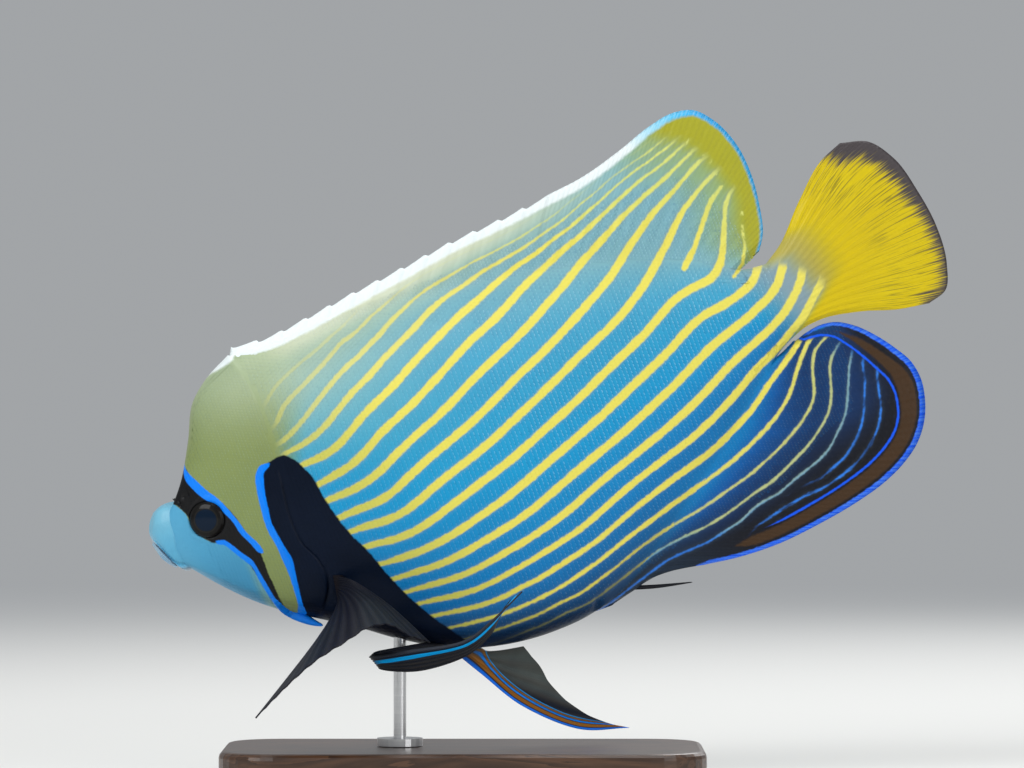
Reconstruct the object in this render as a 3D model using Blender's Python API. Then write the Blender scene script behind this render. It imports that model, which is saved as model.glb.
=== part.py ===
"""Emperor angelfish, 330 mm long, as a life-size still model on a display stand.

The fish is drawn in its own frame, in millimetres: u runs from the snout to the tail, v runs up to the back,
and w runs to the fish's right side. The fish's pose then pitches the whole animal head-down over its stand.
"""

import math

import bmesh
import bpy
import numpy as np
from mathutils import Vector
from mathutils.bvhtree import BVHTree

MM = 0.001
GAP = 0.35  # between touching nodes

PITCH = math.radians(20.5)  # head-down
TAIL_SWEEP = 9.0  # how far the tail's margin swings to the right
SWEEP_START = 150.0  # where along the body the swing begins
TAIL_TIP = 332.0

# Outlines, (u, v)
GILL_EDGE = [(49, -57.6), (54.5, -52), (58.4, -44), (57.8, -36), (54, -27), (53.3, -20), (55.6, 2), (57.5, 25),
             (56, 40), (52, 51.9)]
SNOUT_EDGE = [(9.8, -22.4), (7.7, -17.6), (6.9, -13), (7.9, -7), (8.6, -1), (11, 3.6), (13.6, 5)]
CHIN = [(9.8, -22.4), (17.6, -31.8), (29.8, -44), (38, -50.4), (49, -57.6)]
FOREHEAD = [(13.6, 5), (18, 12.2), (25.8, 26.1), (32.8, 39.5), (40.5, 46), (52, 51.9)]
BACK = [(52, 51.9), (60, 49), (89.4, 47.8), (122.6, 46.7), (155.2, 43.8), (186.8, 38.3), (217.4, 30.2), (239.3, 21.2),
        (254.5, 12.4), (263.4, 11.4)]
BELLY = [(49, -57.6), (62, -66), (76.5, -76.6), (97.4, -88.2), (115, -93.2), (135, -95), (152, -93.4), (168, -87),
         (188.7, -74.8), (211.3, -59.2), (233.8, -42), (250, -28), (257, -22.8), (262.8, -19.8)]
TAIL_BASE = [(262.8, -19.8), (266.5, -4), (263.4, 11.4)]

DORSAL_SPINY_EDGE = [(54, 54.8), (70, 53.6), (84, 55), (106, 58), (128, 60.5), (150, 63.4), (172, 65), (192, 67)]
DORSAL_SOFT_EDGE = [(192.6, 67), (207, 68.8), (225, 73.6), (240, 78.6), (250, 80.2), (258, 78.4), (264.4, 71.5),
                    (269, 61), (270.6, 46), (269.3, 34), (266.4, 22.5), (262, 16)]
ANAL_SPINY_EDGE = [(159, -93.8), (170.5, -90.8), (181.4, -88.7), (190, -89.3), (199, -91.2)]
ANAL_SOFT_EDGE = [(199.6, -91.2), (213, -93.2), (230, -93.8), (247, -92.2), (265, -89.2), (277, -86), (287, -81.6),
                  (295, -76), (300.6, -69), (304, -61), (305.4, -52), (304, -44.5), (300, -37.5), (294, -29.5),
                  (288, -23.6), (281, -19.5), (275, -18.6), (267.6, -19.8)]
TAIL_TOP = [(263.4, 11.4), (270, 15.6), (284.7, 30.3), (298.4, 42), (308, 46)]
TAIL_MARGIN = [(319, -25.8), (326.9, -23.2), (331, -14), (332.5, 2), (330.4, 17.4), (326, 33), (318.8, 42.6), (308, 46)]
TAIL_BOTTOM = [(262.8, -19.8), (268.9, -17.6), (275.6, -16.8), (291.4, -19.2), (306.6, -23.8), (319, -25.8)]

# Half the body's thickness along u: amidships, and at its upper and lower edges
HALF_WIDTH = [(7, 9), (12, 10.6), (20, 13.2), (30, 15.8), (45, 18.8), (60, 21), (85, 22.8), (110, 23), (150, 20.5),
              (190, 15.5), (225, 10.2), (250, 6.6), (266, 5.2)]
HALF_UPPER = [(10, 2.6), (52, 2.8), (100, 3.2), (150, 3.6), (200, 3.6), (235, 3.1), (266, 3.4)]
HALF_LOWER = [(10, 3), (30, 4), (50, 5.2), (75, 5.8), (110, 5.8), (145, 4.6), (168, 3.8), (200, 3.6), (235, 3.1),
              (266, 3.4)]
# How blunt the section is towards each edge: 0.5 is round, 1 is a wedge
BLUNT_UPPER = [(10, 0.5), (30, 0.52), (60, 0.72), (120, 0.78), (266, 0.85)]
BLUNT_LOWER = [(10, 0.5), (50, 0.55), (110, 0.58), (145, 0.64), (180, 0.85), (266, 0.85)]

STALK_START = 0.86  # along the body from gill to tail, where the tail stalk is divided from the torso
DORSAL_SPLIT = 0.565  # along the body, between the spiny and the soft dorsal
ANAL_START, ANAL_SPLIT, ANAL_END = 0.455, 0.545, 0.962
DORSAL_END = 0.955

OPERCLE_LIFT = 0.9  # how proud the gill cover stands of the flank
EYE_AT = (24.2, -6.1)
EYE_RADIUS, EYE_BULGE, EYE_DEPTH = 8.8, 2.6, 5.5
EYE_TOE_IN = math.radians(13)
NOSTRILS = [(14.6, 2.8, 1.1), (17.2, 5.8, 0.9)]  # u, v, radius
CHEEK_SPINE = [(36, -43, 1.6), (39, -50, 2.2), (43.7, -55.4, 2.3), (47, -58.6, 1.8), (50, -61, 0.7)]  # u, v, radius
CHEEK_SPINE_STAND_OFF = 0.6
ANAL_FREE_SPINE = [(166, -88.6), (178, -92.4), (192.5, -96)]
ANAL_SPINE_RADIUS = 1.0

DORSAL_SPINES, DORSAL_RAYS, ANAL_SPINES, ANAL_RAYS, TAIL_RAYS = 14, 20, 3, 19, 17
PECTORAL_RAYS, PELVIC_RAYS = 16, 6
FIN_EDGE = 0.3  # half the membrane's thickness at its margin
RIDGE = 0.4  # how far a ray stands out of the membrane
LOWER_LIP_END = np.array([-0.8, -0.8])  # from the corner of the mouth down to the chin
SPINE_NOTCH = 1.2  # how far the membrane dips between two spines

LEFT_PECTORAL_ROOT = [(60.5, -56.5), (61.5, -50), (62.5, -43.5)]
LEFT_PECTORAL_TIPS = [(15.8, -83.7, -54), (27, -78.3, -61), (36, -74.3, -66), (47, -70.4, -69), (58, -68.2, -68),
                      (68, -66.2, -63), (76, -68, -53), (82, -75.5, -41), (88, -81, -30)]
RIGHT_PECTORAL_TIPS = [(92, -86, 33), (106, -80, 38), (116, -68, 37), (121, -54, 34), (119, -40, 31)]
# Rows of (u, w, v) across a pelvic fin from its first ray to its last, in even steps from its root to its margin.
# The left fin is thrown forward and out, then trails back; the right one hangs down and back.
LEFT_PELVIC = [[(86, -3.5, -84), (93, -3.4, -87)], [(67.5, -20, -77.8), (72, -17, -82.5)],
               [(66, -35, -78), (67, -29, -83.5)], [(80, -48, -80.6), (81, -39, -89)],
               [(100, -54, -84.2), (99, -43, -89.9)], [(113.4, -52.5, -80.8), (110.5, -43.5, -86)],
               [(128.7, -48.8, -74.2), (122, -45, -76.6), (116, -41.5, -81.5)]]
RIGHT_PELVIC = [[(93, 3.6, -87), (98, 3.5, -89), (104, 3.2, -91)],
                [(101.5, 6, -100.5), (103.5, 5.4, -97.5), (106.5, 4.2, -93)],
                [(112.3, 9, -118.6), (112, 7.6, -109), (110.5, 5, -94.5)],
                [(129.7, 12.5, -135), (122.5, 9.8, -118), (115.5, 6, -95.6)],
                [(148.9, 15, -141.9), (140.8, 13.5, -136.4), (133, 12, -128.3), (126.2, 10.5, -115.8),
                 (124, 8.5, -105.1), (121, 7, -96.6)]]

ROD_RADIUS, ROD_IN_BODY = 2.5, 15.0
ROD_U, ROD_V = 76.5, -76.6  # where the rod enters the belly
BASE_LENGTH, BASE_WIDTH, BASE_HEIGHT = 190.0, 100.0, 14.0
BASE_AHEAD = -25.0  # the base's middle from the rod, towards the tail
FIN_CLEARANCE = 6.0  # from the base's top to the lowest fin tip


def curve(points):
    """A smooth curve through the points, as a function of its share of length from 0 to 1."""
    knots = np.array(points, float)
    steps = np.linalg.norm(np.diff(knots, axis=0), axis=1)
    place = np.concatenate([[0], np.cumsum(steps)]) / steps.sum()
    return hermite(place, knots)


def hermite(place, knots):
    slopes = np.gradient(knots, place, axis=0)

    def at(t):
        t = np.clip(np.asarray(t, float), place[0], place[-1])
        i = np.clip(np.searchsorted(place, t, side="right") - 1, 0, len(place) - 2)
        span = place[i + 1] - place[i]
        f = (t - place[i]) / span
        f, span = (x.reshape(x.shape + (1,) * (knots.ndim - 1)) for x in (f, span))
        a, b = knots[i], knots[i + 1]
        m, n = slopes[i] * span, slopes[i + 1] * span
        return (a * (1 + 2 * f) * (1 - f) ** 2 + m * f * (1 - f) ** 2
                + b * f * f * (3 - 2 * f) + n * f * f * (f - 1))

    return at


def graph(pairs):
    """A smooth function of one number through the (x, y) pairs."""
    table = np.array(pairs, float)
    return hermite(table[:, 0], table[:, 1])


half_width, half_upper, half_lower = graph(HALF_WIDTH), graph(HALF_UPPER), graph(HALF_LOWER)
blunt_upper, blunt_lower = graph(BLUNT_UPPER), graph(BLUNT_LOWER)
back, belly = curve(BACK), curve(BELLY)


def stretch(whole, start, end):
    """The part of a curve from start to end, as a curve of its own."""
    return lambda t: whole(start + (end - start) * np.asarray(t, float))


def patch(low, high, front, rear):
    """The smooth sheet between four edges: t runs front to rear, s runs low to high."""

    def at(t, s):
        t, s = np.broadcast_arrays(np.asarray(t, float), np.asarray(s, float))
        a, b = t[..., None], s[..., None]
        corners = ((1 - a) * (1 - b) * low(0.0) + a * (1 - b) * low(1.0)
                   + (1 - a) * b * high(0.0) + a * b * high(1.0))
        return (1 - b) * low(t) + b * high(t) + (1 - a) * front(s) + a * rear(s) - corners

    return at


def body_half(at, s):
    """Half the body's thickness at a point, given its share s of the way from the belly to the back."""
    u = at[..., 0]
    across = 2 * s - 1
    edge = np.where(across > 0, half_upper(u), half_lower(u))
    middle = half_upper(u) * 0.5 + half_lower(u) * 0.5
    edge = middle + (edge - middle) * np.clip(np.abs(across) * 2, 0, 1)
    blunt = np.where(across > 0, blunt_upper(u), blunt_lower(u))
    return edge + (half_width(u) - edge) * (1 - np.abs(across) ** 2.2) ** blunt


def sweep(points):
    """Swings the tail end of the fish to its right."""
    along = np.clip((points[..., 0] - SWEEP_START) / (TAIL_TIP - SWEEP_START), 0, None)
    moved = points.copy()
    moved[..., 1] += TAIL_SWEEP * along**2
    return moved


def material(name, colour, roughness, metallic=0.0):
    made = bpy.data.materials.new(name)
    made.use_nodes = True
    shader = made.node_tree.nodes["Principled BSDF"]
    shader.inputs["Base Color"].default_value = (*colour, 1)
    shader.inputs["Roughness"].default_value = roughness
    shader.inputs["Metallic"].default_value = metallic
    made.diffuse_color = (*colour, 1)
    return made


def mesh_object(name, points, faces, finish, parent):
    """An object with its faces turned outwards, its points given in millimetres."""
    mesh = bpy.data.meshes.new(name)
    mesh.from_pydata((np.asarray(points) * MM).tolist(), [], faces)
    work = bmesh.new()
    work.from_mesh(mesh)
    bmesh.ops.recalc_face_normals(work, faces=work.faces)
    work.to_mesh(mesh)
    work.free()
    mesh.shade_smooth()
    mesh.set_sharp_from_angle(angle=math.radians(50))
    mesh.materials.append(finish)
    made = bpy.data.objects.new(name, mesh)
    bpy.context.scene.collection.objects.link(made)
    made.parent = parent
    return made


def plate(name, centre, side, finish, parent):
    """A closed solid from a grid of points and the steps from it to one face, split alike on both faces."""
    rows, columns = centre.shape[:2]
    points = np.concatenate([(centre + side).reshape(-1, 3), (centre - side).reshape(-1, 3)])
    far = rows * columns

    def corner(i, j):
        return i * columns + j

    faces = []
    for i in range(rows - 1):
        for j in range(columns - 1):
            a, b, c, d = corner(i, j), corner(i + 1, j), corner(i + 1, j + 1), corner(i, j + 1)
            faces += [(a, b, c), (a, c, d), (far + a, far + c, far + b), (far + a, far + d, far + c)]
    rim = ([corner(i, 0) for i in range(rows)] + [corner(rows - 1, j) for j in range(1, columns)]
           + [corner(i, columns - 1) for i in range(rows - 2, -1, -1)]
           + [corner(0, j) for j in range(columns - 2, 0, -1)])
    for a, b in zip(rim, rim[1:] + rim[:1]):
        faces += [(a, far + a, far + b), (a, far + b, b)]
    return mesh_object(name, sweep(points), faces, finish, parent)


def flat_plate(name, at, half, finish, parent):
    """A plate in the fish's middle plane, from (u, v) points and half its thickness there."""
    centre = np.stack([at[..., 0], np.zeros_like(half), at[..., 1]], axis=-1)
    side = np.zeros_like(centre)
    side[..., 1] = half
    return plate(name, centre, side, finish, parent)


def keep_largest(mesh):
    """Drops every closed surface of the mesh but the one with the most faces."""
    work = bmesh.new()
    work.from_mesh(mesh)
    seen, shells = set(), []
    for first in work.faces:
        if first in seen:
            continue
        shell, front = {first}, [first]
        while front:
            near = {face for edge in front.pop().edges for face in edge.link_faces} - shell
            shell |= near
            front += near
        seen |= shell
        shells.append(shell)
    for shell in sorted(shells, key=len)[:-1]:
        bmesh.ops.delete(work, geom=list(shell), context="FACES")
    work.to_mesh(mesh)
    work.free()


def cut_by(target, name, helpers, operation="DIFFERENCE"):
    """Joins or cuts the target with helper objects, which are then removed."""
    group = bpy.data.collections.new(name)
    bpy.context.scene.collection.children.link(group)
    for helper in helpers:
        for owner in list(helper.users_collection):
            owner.objects.unlink(helper)
        group.objects.link(helper)
    step = target.modifiers.new(name, "BOOLEAN")
    step.operation = operation
    step.operand_type = "COLLECTION"
    step.collection = group
    step.solver = "EXACT"
    graph = bpy.context.evaluated_depsgraph_get()
    made = bpy.data.meshes.new_from_object(target.evaluated_get(graph))
    keep_largest(made)
    target.modifiers.clear()
    target.data = made
    for helper in helpers:
        bpy.data.objects.remove(helper, do_unlink=True)
    bpy.data.collections.remove(group)


def dense_at_ends(count):
    return 0.5 - 0.5 * np.cos(np.pi * np.arange(count) / (count - 1))


def make_head(finish, parent):
    chin, forehead = curve(CHIN), curve(FOREHEAD)
    place = patch(chin, forehead, curve(SNOUT_EDGE), curve(GILL_EDGE))
    t, s = np.meshgrid(np.linspace(0, 1, 19), dense_at_ends(20), indexing="ij")
    at = place(t, s)
    cover = np.clip((t - 0.86) / 0.1, 0, 1) * np.clip(s / 0.1, 0, 1) * np.clip((0.72 - s) / 0.1, 0, 1)
    head = flat_plate("head", at, body_half(at, s) + OPERCLE_LIFT * cover, finish, parent)
    skin = BVHTree.FromPolygons([v.co for v in head.data.vertices], [f.vertices for f in head.data.polygons])
    return head, skin


def surface(skin, u, v, right):
    """How far out the skin lies at (u, v), on the fish's right or left side."""
    start = Vector((u, 200 if right else -200, v)) * MM
    hit = skin.ray_cast(start, Vector((0, -1 if right else 1, 0)))[0]
    return abs(hit.y) / MM


def lens(name, radius, bulge, depth, finish, parent):
    """An eyeball: a round lens that bulges along +Z and is sunk along -Z."""
    mesh = bpy.data.meshes.new(name)
    work = bmesh.new()
    bmesh.ops.create_uvsphere(work, u_segments=20, v_segments=10, radius=1)
    for point in work.verts:
        rise = bulge if point.co.z > 0 else depth
        point.co = Vector((point.co.x * radius, point.co.y * radius, point.co.z * rise)) * MM
    work.to_mesh(mesh)
    work.free()
    mesh.shade_smooth()
    mesh.materials.append(finish)
    made = bpy.data.objects.new(name, mesh)
    bpy.context.scene.collection.objects.link(made)
    made.parent = parent
    return made


def make_eyes(skin, finish, parent):
    """Two eyeballs. It returns the cutters for their sockets and for the nostrils."""
    sockets = []
    for side, name in ((-1, "eye_left"), (1, "eye_right")):
        out = surface(skin, *EYE_AT, side > 0)
        eye = lens(name, EYE_RADIUS, EYE_BULGE, EYE_DEPTH, finish, parent)
        socket = lens(name + "_socket", EYE_RADIUS + GAP, 8, EYE_DEPTH + GAP, finish, parent)
        for piece in (eye, socket):
            piece.location = (EYE_AT[0] * MM, side * out * MM, EYE_AT[1] * MM)
            piece.rotation_euler = (-side * math.pi / 2, 0, side * EYE_TOE_IN)
        sockets.append(socket)
    for side in (-1, 1):
        for i, (u, v, radius) in enumerate(NOSTRILS):
            pit = lens(f"nostril_{i}_{side}", radius, radius, radius, finish, parent)
            pit.location = (u * MM, side * surface(skin, u, v, side > 0) * MM, v * MM)
            sockets.append(pit)
    return sockets


def thorn(name, line, size, out, finish, parent):
    """A tapered spine along a (u, v) curve, with its radius and its place across the fish as functions of t."""
    rings, sides = 7, 8
    points, faces = [], [tuple(range(sides)), tuple(range((rings - 1) * sides, rings * sides))]
    for t in np.linspace(0, 1, rings):
        u, v = line(t)
        du, dv = line(min(t + 0.05, 1)) - line(max(t - 0.05, 0))
        norm = math.hypot(du, dv)
        for k in range(sides):
            turn = 2 * math.pi * k / sides
            off, lift = size(t) * math.cos(turn), 0.75 * size(t) * math.sin(turn)
            points.append((u - off * dv / norm, out(t) + lift, v + off * du / norm))
    for i in range(rings - 1):
        for k in range(sides):
            a, b = i * sides + k, i * sides + (k + 1) % sides
            faces.append((a, b, b + sides, a + sides))
    return mesh_object(name, sweep(np.array(points)), faces, finish, parent)


def make_cheek_spines(skin, finish, parent):
    line = curve([point[:2] for point in CHEEK_SPINE])
    size = graph([(i / (len(CHEEK_SPINE) - 1), point[2]) for i, point in enumerate(CHEEK_SPINE)])
    spines = []
    for side in (-1, 1):
        def out(t):
            return side * (surface(skin, *line(min(t, 0.45)), side > 0) + CHEEK_SPINE_STAND_OFF - 1.4 * (1 - t))

        spines.append(thorn(f"cheek_spine_{side}", line, size, out, finish, parent))
    return spines


def make_lips(finish, parent):
    mouth = curve([(-1.5, -6.4), (0.5, -10), (2.4, -13.9), (4.6, -18.8), (7.3, -22), (9.8, -22.4)])
    jaw = stretch(mouth, 0, 0.66)
    end = jaw(1.0) + LOWER_LIP_END
    upper = patch(mouth, curve([(2.8, 4), (5.3, 5.2), (8, 5.8), (10.6, 5.7), (13.6, 5)]),
                  curve([(-1.5, -6.4), (-1.4, -3), (0.2, 0.9), (2.8, 4)]), curve(SNOUT_EDGE))
    lower = patch(curve([(-1.9, -7.6), (-1.1, -11), (-0.3, -13.9), (1.2, -16.4), end]), jaw,
                  curve([(-1.9, -7.6), (-1.5, -6.4)]), curve([end, jaw(1.0)]))
    fullness = graph([(0, 1.4), (0.1, 4.2), (0.3, 7.2), (0.6, 9), (1, 9.6)])
    for name, place, low_s, wide in (("upper_lip", upper, 0.025, 1), ("lower_lip", lower, 0, 0.8)):
        t, s = np.meshgrid(0.96 * np.linspace(0, 1, 11) ** 1.6, low_s + (0.975 - low_s) * dense_at_ends(11),
                           indexing="ij")
        round_off = 0.45 + 0.55 * np.clip(1 - np.abs(2 * s - 1) ** 2.6, 0, 1) ** 0.5
        flat_plate(name, place(t, s), wide * fullness(t) * round_off, finish, parent)


def make_body(finish, parent):
    place = patch(belly, back, curve(GILL_EDGE), curve(TAIL_BASE))
    length = BACK[-1][0] - BACK[0][0]
    parts = {}
    for name, start, end, stations in (("torso", GAP / length, STALK_START, 38),
                                       ("tail_stalk", STALK_START + GAP / length, 1 - GAP / length, 7)):
        t, s = np.meshgrid(np.linspace(start, end, stations), dense_at_ends(20), indexing="ij")
        at = place(t, s)
        parts[name] = flat_plate(name, at, body_half(at, s), finish, parent)
    torso = parts["torso"]
    skin = BVHTree.FromPolygons([v.co for v in torso.data.vertices], [f.vertices for f in torso.data.polygons])
    return torso, skin


def median_fin(name, base, edge, rays, base_half, tier, finish, parent, spiny=False):
    """A fin in the middle plane: its rays are ridges from the base curve to the edge curve."""
    columns = 2 * (rays - 1) + 1
    lead = curve([base(0.0), edge(0.0)])
    trail = curve([base(1.0), edge(1.0)])
    place = patch(base, edge, lead, trail)
    t, s = np.meshgrid(np.linspace(0.002, 0.998, columns), np.linspace(0, 1, tier), indexing="ij")
    height = np.linalg.norm(edge(t) - base(t), axis=-1)
    on_ray = np.arange(columns)[:, None] % 2 == 0
    top = 1.0
    if spiny:
        top = np.where(on_ray, 1.0, 1 - np.minimum(SPINE_NOTCH / height, 0.3))
    reach = GAP / height + (top - GAP / height) * s
    at = place(t, reach)
    thick = FIN_EDGE + (base_half(at[..., 0]) - FIN_EDGE) * (1 - reach) ** 0.85
    thick += np.where(on_ray, RIDGE, 0) * np.clip(reach * 4, 0, 1) * (1.15 - 0.6 * reach)
    return flat_plate(name, at, thick, finish, parent)


def make_median_fins(colours, parent):
    median_fin("dorsal_fin_front", stretch(back, 0.002, DORSAL_SPLIT - 0.001), curve(DORSAL_SPINY_EDGE),
               DORSAL_SPINES, half_upper, 5, colours["cream"], parent, spiny=True)
    median_fin("dorsal_fin_rear", stretch(back, DORSAL_SPLIT + 0.001, DORSAL_END), curve(DORSAL_SOFT_EDGE),
               DORSAL_RAYS, half_upper, 8, colours["yellow"], parent)
    front = median_fin("anal_fin_front", stretch(belly, ANAL_START, ANAL_SPLIT - 0.001), curve(ANAL_SPINY_EDGE),
                       ANAL_SPINES + 1, half_lower, 5, colours["navy"], parent, spiny=True)
    line = curve(ANAL_FREE_SPINE)
    size = graph([(0, ANAL_SPINE_RADIUS), (0.5, 0.8 * ANAL_SPINE_RADIUS), (1, 0.2)])
    spine = thorn("free_anal_spine", line, size, lambda t: 0, colours["navy"], parent)
    cut_by(front, "free_spine", [spine], "UNION")
    median_fin("anal_fin_rear", stretch(belly, ANAL_SPLIT + 0.001, ANAL_END), curve(ANAL_SOFT_EDGE),
               ANAL_RAYS, half_lower, 8, colours["navy"], parent)
    make_tail_fin(colours["tail"], parent)


def make_tail_fin(finish, parent):
    place = patch(curve(TAIL_BOTTOM), curve(TAIL_TOP), curve(TAIL_BASE), curve(TAIL_MARGIN))
    columns = 2 * (TAIL_RAYS - 1) + 1
    length = TAIL_TIP - TAIL_BASE[0][0]
    t, s = np.meshgrid(np.linspace(1.5 * GAP / length, 1, 9), np.linspace(0, 1, columns), indexing="ij")
    at = place(t, s)
    on_ray = np.arange(columns)[None, :] % 2 == 0
    thick = FIN_EDGE + (body_half(at * 0 + TAIL_BASE[1][0], s) - FIN_EDGE) * (1 - t) ** 1.4
    thick += np.where(on_ray, RIDGE, 0) * np.clip(t * 4, 0, 1) * (1.2 - 0.7 * t)
    flat_plate("caudal_fin", at, thick, finish, parent)


def fan_fin(name, rows, rays, tier, root_half, seat, finish, parent):
    """A paired fin: each ray runs through the rows of curves across the fan, and seat moves its root to the skin."""
    columns = 2 * (rays - 1) + 1
    across = np.linspace(0, 1, columns)
    knots = np.stack([row(across) for row in rows])
    centre = hermite(np.linspace(0, 1, len(rows)), knots)(np.linspace(0, 1, tier))
    du, dv = np.gradient(centre, axis=0), np.gradient(centre, axis=1)
    normal = np.cross(du, dv)
    normal /= np.linalg.norm(normal, axis=-1, keepdims=True)
    out = np.linspace(0, 1, tier)[:, None]
    on_ray = np.arange(columns)[None, :] % 2 == 0
    thick = FIN_EDGE + (root_half - FIN_EDGE) * (1 - out) ** 1.6
    thick = thick + np.where(on_ray, RIDGE * 0.8, 0) * np.clip(out * 5, 0, 1) * (1.1 - 0.7 * out)
    side = normal * thick[..., None]
    for j in range(columns):
        near, far = seat(centre[0, j] + side[0, j]), seat(centre[0, j] - side[0, j])
        centre[0, j], side[0, j] = (near + far) / 2, (near - far) / 2
    return plate(name, centre, side, finish, parent)


def on_flank(skin, right):
    def seat(point):
        out = surface(skin, point[0], point[2], right) + GAP
        return np.array([point[0], out if right else -out, point[2]])

    return seat


def under_belly(skin):
    def seat(point):
        hit = skin.ray_cast(Vector((point[0], point[1], -200)) * MM, Vector((0, 0, 1)))[0]
        return np.array([point[0], point[1], hit.z / MM - GAP])

    return seat


def make_pectorals(skin, finish, parent):
    for name, tips, right in (("pectoral_fin_left", LEFT_PECTORAL_TIPS, False),
                              ("pectoral_fin_right", RIGHT_PECTORAL_TIPS, True)):
        sign = 1 if right else -1
        tip = curve([(u, w, v) for u, v, w in tips])
        root = curve([(u, sign * (surface(skin, u, v, right) + GAP), v) for u, v in LEFT_PECTORAL_ROOT])
        near, far = np.array([1.8, sign * 5.6, 0.4]), np.array([2.2, sign * 4.4, 0.9])
        rows = [root, lambda a: 0.84 * root(a) + 0.16 * tip(a) + near,
                lambda a: 0.46 * root(a) + 0.54 * tip(a) + far, tip]
        fan_fin(name, rows, PECTORAL_RAYS, 9, 1.5, on_flank(skin, right), finish, parent)


def make_pelvics(skin, finish, parent):
    for name, rows, tier in (("pelvic_fin_left", LEFT_PELVIC, 13), ("pelvic_fin_right", RIGHT_PELVIC, 11)):
        fan_fin(name, [curve(row) for row in rows], PELVIC_RAYS, tier, 1.3, under_belly(skin), finish, parent)


def to_world(u, v):
    """Where a point of the fish's middle plane lies before the stand lifts it, in millimetres."""
    return (u * math.cos(PITCH) - v * math.sin(PITCH), u * math.sin(PITCH) + v * math.cos(PITCH))


def cylinder(name, radius, height, finish, parent):
    mesh = bpy.data.meshes.new(name)
    work = bmesh.new()
    bmesh.ops.create_cone(work, cap_ends=True, segments=24, radius1=radius * MM, radius2=radius * MM,
                          depth=height * MM)
    bmesh.ops.translate(work, verts=work.verts, vec=(0, 0, height * MM / 2))
    work.to_mesh(mesh)
    work.free()
    mesh.shade_smooth()
    mesh.set_sharp_from_angle(angle=math.radians(40))
    mesh.materials.append(finish)
    made = bpy.data.objects.new(name, mesh)
    bpy.context.scene.collection.objects.link(made)
    made.parent = parent
    return made


def make_stand(torso, steel, wood, root):
    """A round-cornered base and one rod, which stands in a blind socket in the belly."""
    rod_x, entry_z = to_world(ROD_U, ROD_V)
    base_top = to_world(148.7, -142.3)[1] - FIN_CLEARANCE
    rod = cylinder("stand_rod", ROD_RADIUS, entry_z + ROD_IN_BODY - base_top - GAP, steel, root)
    rod.location = (rod_x * MM, 0, (base_top + GAP) * MM)
    foot = cylinder("rod_foot", 9, 3, steel, root)
    foot.location = rod.location
    socket = cylinder("rod_socket", ROD_RADIUS + GAP, ROD_IN_BODY + 20 + GAP, steel, root)
    socket.location = (rod_x * MM, 0, (entry_z - 20) * MM)
    cut_by(rod, "foot", [foot], "UNION")
    cut_by(torso, "socket", [socket])

    mesh = bpy.data.meshes.new("stand_base")
    work = bmesh.new()
    bmesh.ops.create_cube(work, size=1)
    bmesh.ops.scale(work, verts=work.verts, vec=(BASE_LENGTH * MM, BASE_WIDTH * MM, BASE_HEIGHT * MM))
    upright = [edge for edge in work.edges if abs(edge.verts[0].co.z - edge.verts[1].co.z) > MM]
    bmesh.ops.bevel(work, geom=upright, offset=22 * MM, segments=7, affect="EDGES", profile=0.5)
    rim = [edge for edge in work.edges if min(vert.co.z for vert in edge.verts) > 0]
    bmesh.ops.bevel(work, geom=rim, offset=2.5 * MM, segments=3, affect="EDGES", profile=0.5)
    work.to_mesh(mesh)
    work.free()
    mesh.shade_smooth()
    mesh.set_sharp_from_angle(angle=math.radians(30))
    mesh.materials.append(wood)
    base = bpy.data.objects.new("stand_base", mesh)
    bpy.context.scene.collection.objects.link(base)
    base.parent = root
    base.location = ((rod_x - BASE_AHEAD) * MM, 0, (base_top - BASE_HEIGHT / 2) * MM)


def stand_on_origin(root):
    """Moves the whole model so that the middle of its box's underside is the origin."""
    bpy.context.view_layer.update()
    corners = []
    for piece in bpy.context.scene.objects:
        if piece.type == "MESH":
            corners += [piece.matrix_world @ vert.co for vert in piece.data.vertices]
    low = Vector(map(min, zip(*corners)))
    high = Vector(map(max, zip(*corners)))
    root.location = (-(low.x + high.x) / 2, -(low.y + high.y) / 2, -low.z)


def main():
    for old in list(bpy.data.objects):
        bpy.data.objects.remove(old, do_unlink=True)
    root = bpy.data.objects.new("display", None)
    fish = bpy.data.objects.new("fish_pose", None)
    for empty in (root, fish):
        bpy.context.scene.collection.objects.link(empty)
    fish.parent = root
    fish.rotation_euler = (0, -PITCH, 0)

    colours = {
        "blue": material("flank_blue", (0.03, 0.16, 0.42), 0.4),
        "head": material("head_olive", (0.20, 0.23, 0.13), 0.4),
        "lips": material("lip_pale", (0.40, 0.50, 0.58), 0.45),
        "eye": material("eye_dark", (0.02, 0.02, 0.03), 0.08),
        "cream": material("dorsal_cream", (0.62, 0.66, 0.60), 0.45),
        "yellow": material("dorsal_yellow", (0.45, 0.45, 0.07), 0.4),
        "navy": material("anal_navy", (0.01, 0.03, 0.16), 0.4),
        "tail": material("tail_yellow", (0.55, 0.48, 0.03), 0.4),
        "dark": material("paired_fin_dark", (0.03, 0.03, 0.05), 0.35),
        "steel": material("stand_steel", (0.60, 0.60, 0.60), 0.3, 1.0),
        "wood": material("stand_wood", (0.09, 0.05, 0.03), 0.4),
    }
    head, head_skin = make_head(colours["head"], fish)
    cut_by(head, "spines", make_cheek_spines(head_skin, colours["head"], fish), "UNION")
    cut_by(head, "pits", make_eyes(head_skin, colours["eye"], fish))
    make_lips(colours["lips"], fish)
    torso, torso_skin = make_body(colours["blue"], fish)
    make_median_fins(colours, fish)
    make_pectorals(torso_skin, colours["dark"], fish)
    make_pelvics(torso_skin, colours["dark"], fish)
    make_stand(torso, colours["steel"], colours["wood"], root)
    stand_on_origin(root)


main()
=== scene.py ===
import math

import bmesh
import bpy
import numpy as np
from mathutils import Matrix, Vector
from mathutils.bvhtree import BVHTree


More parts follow.
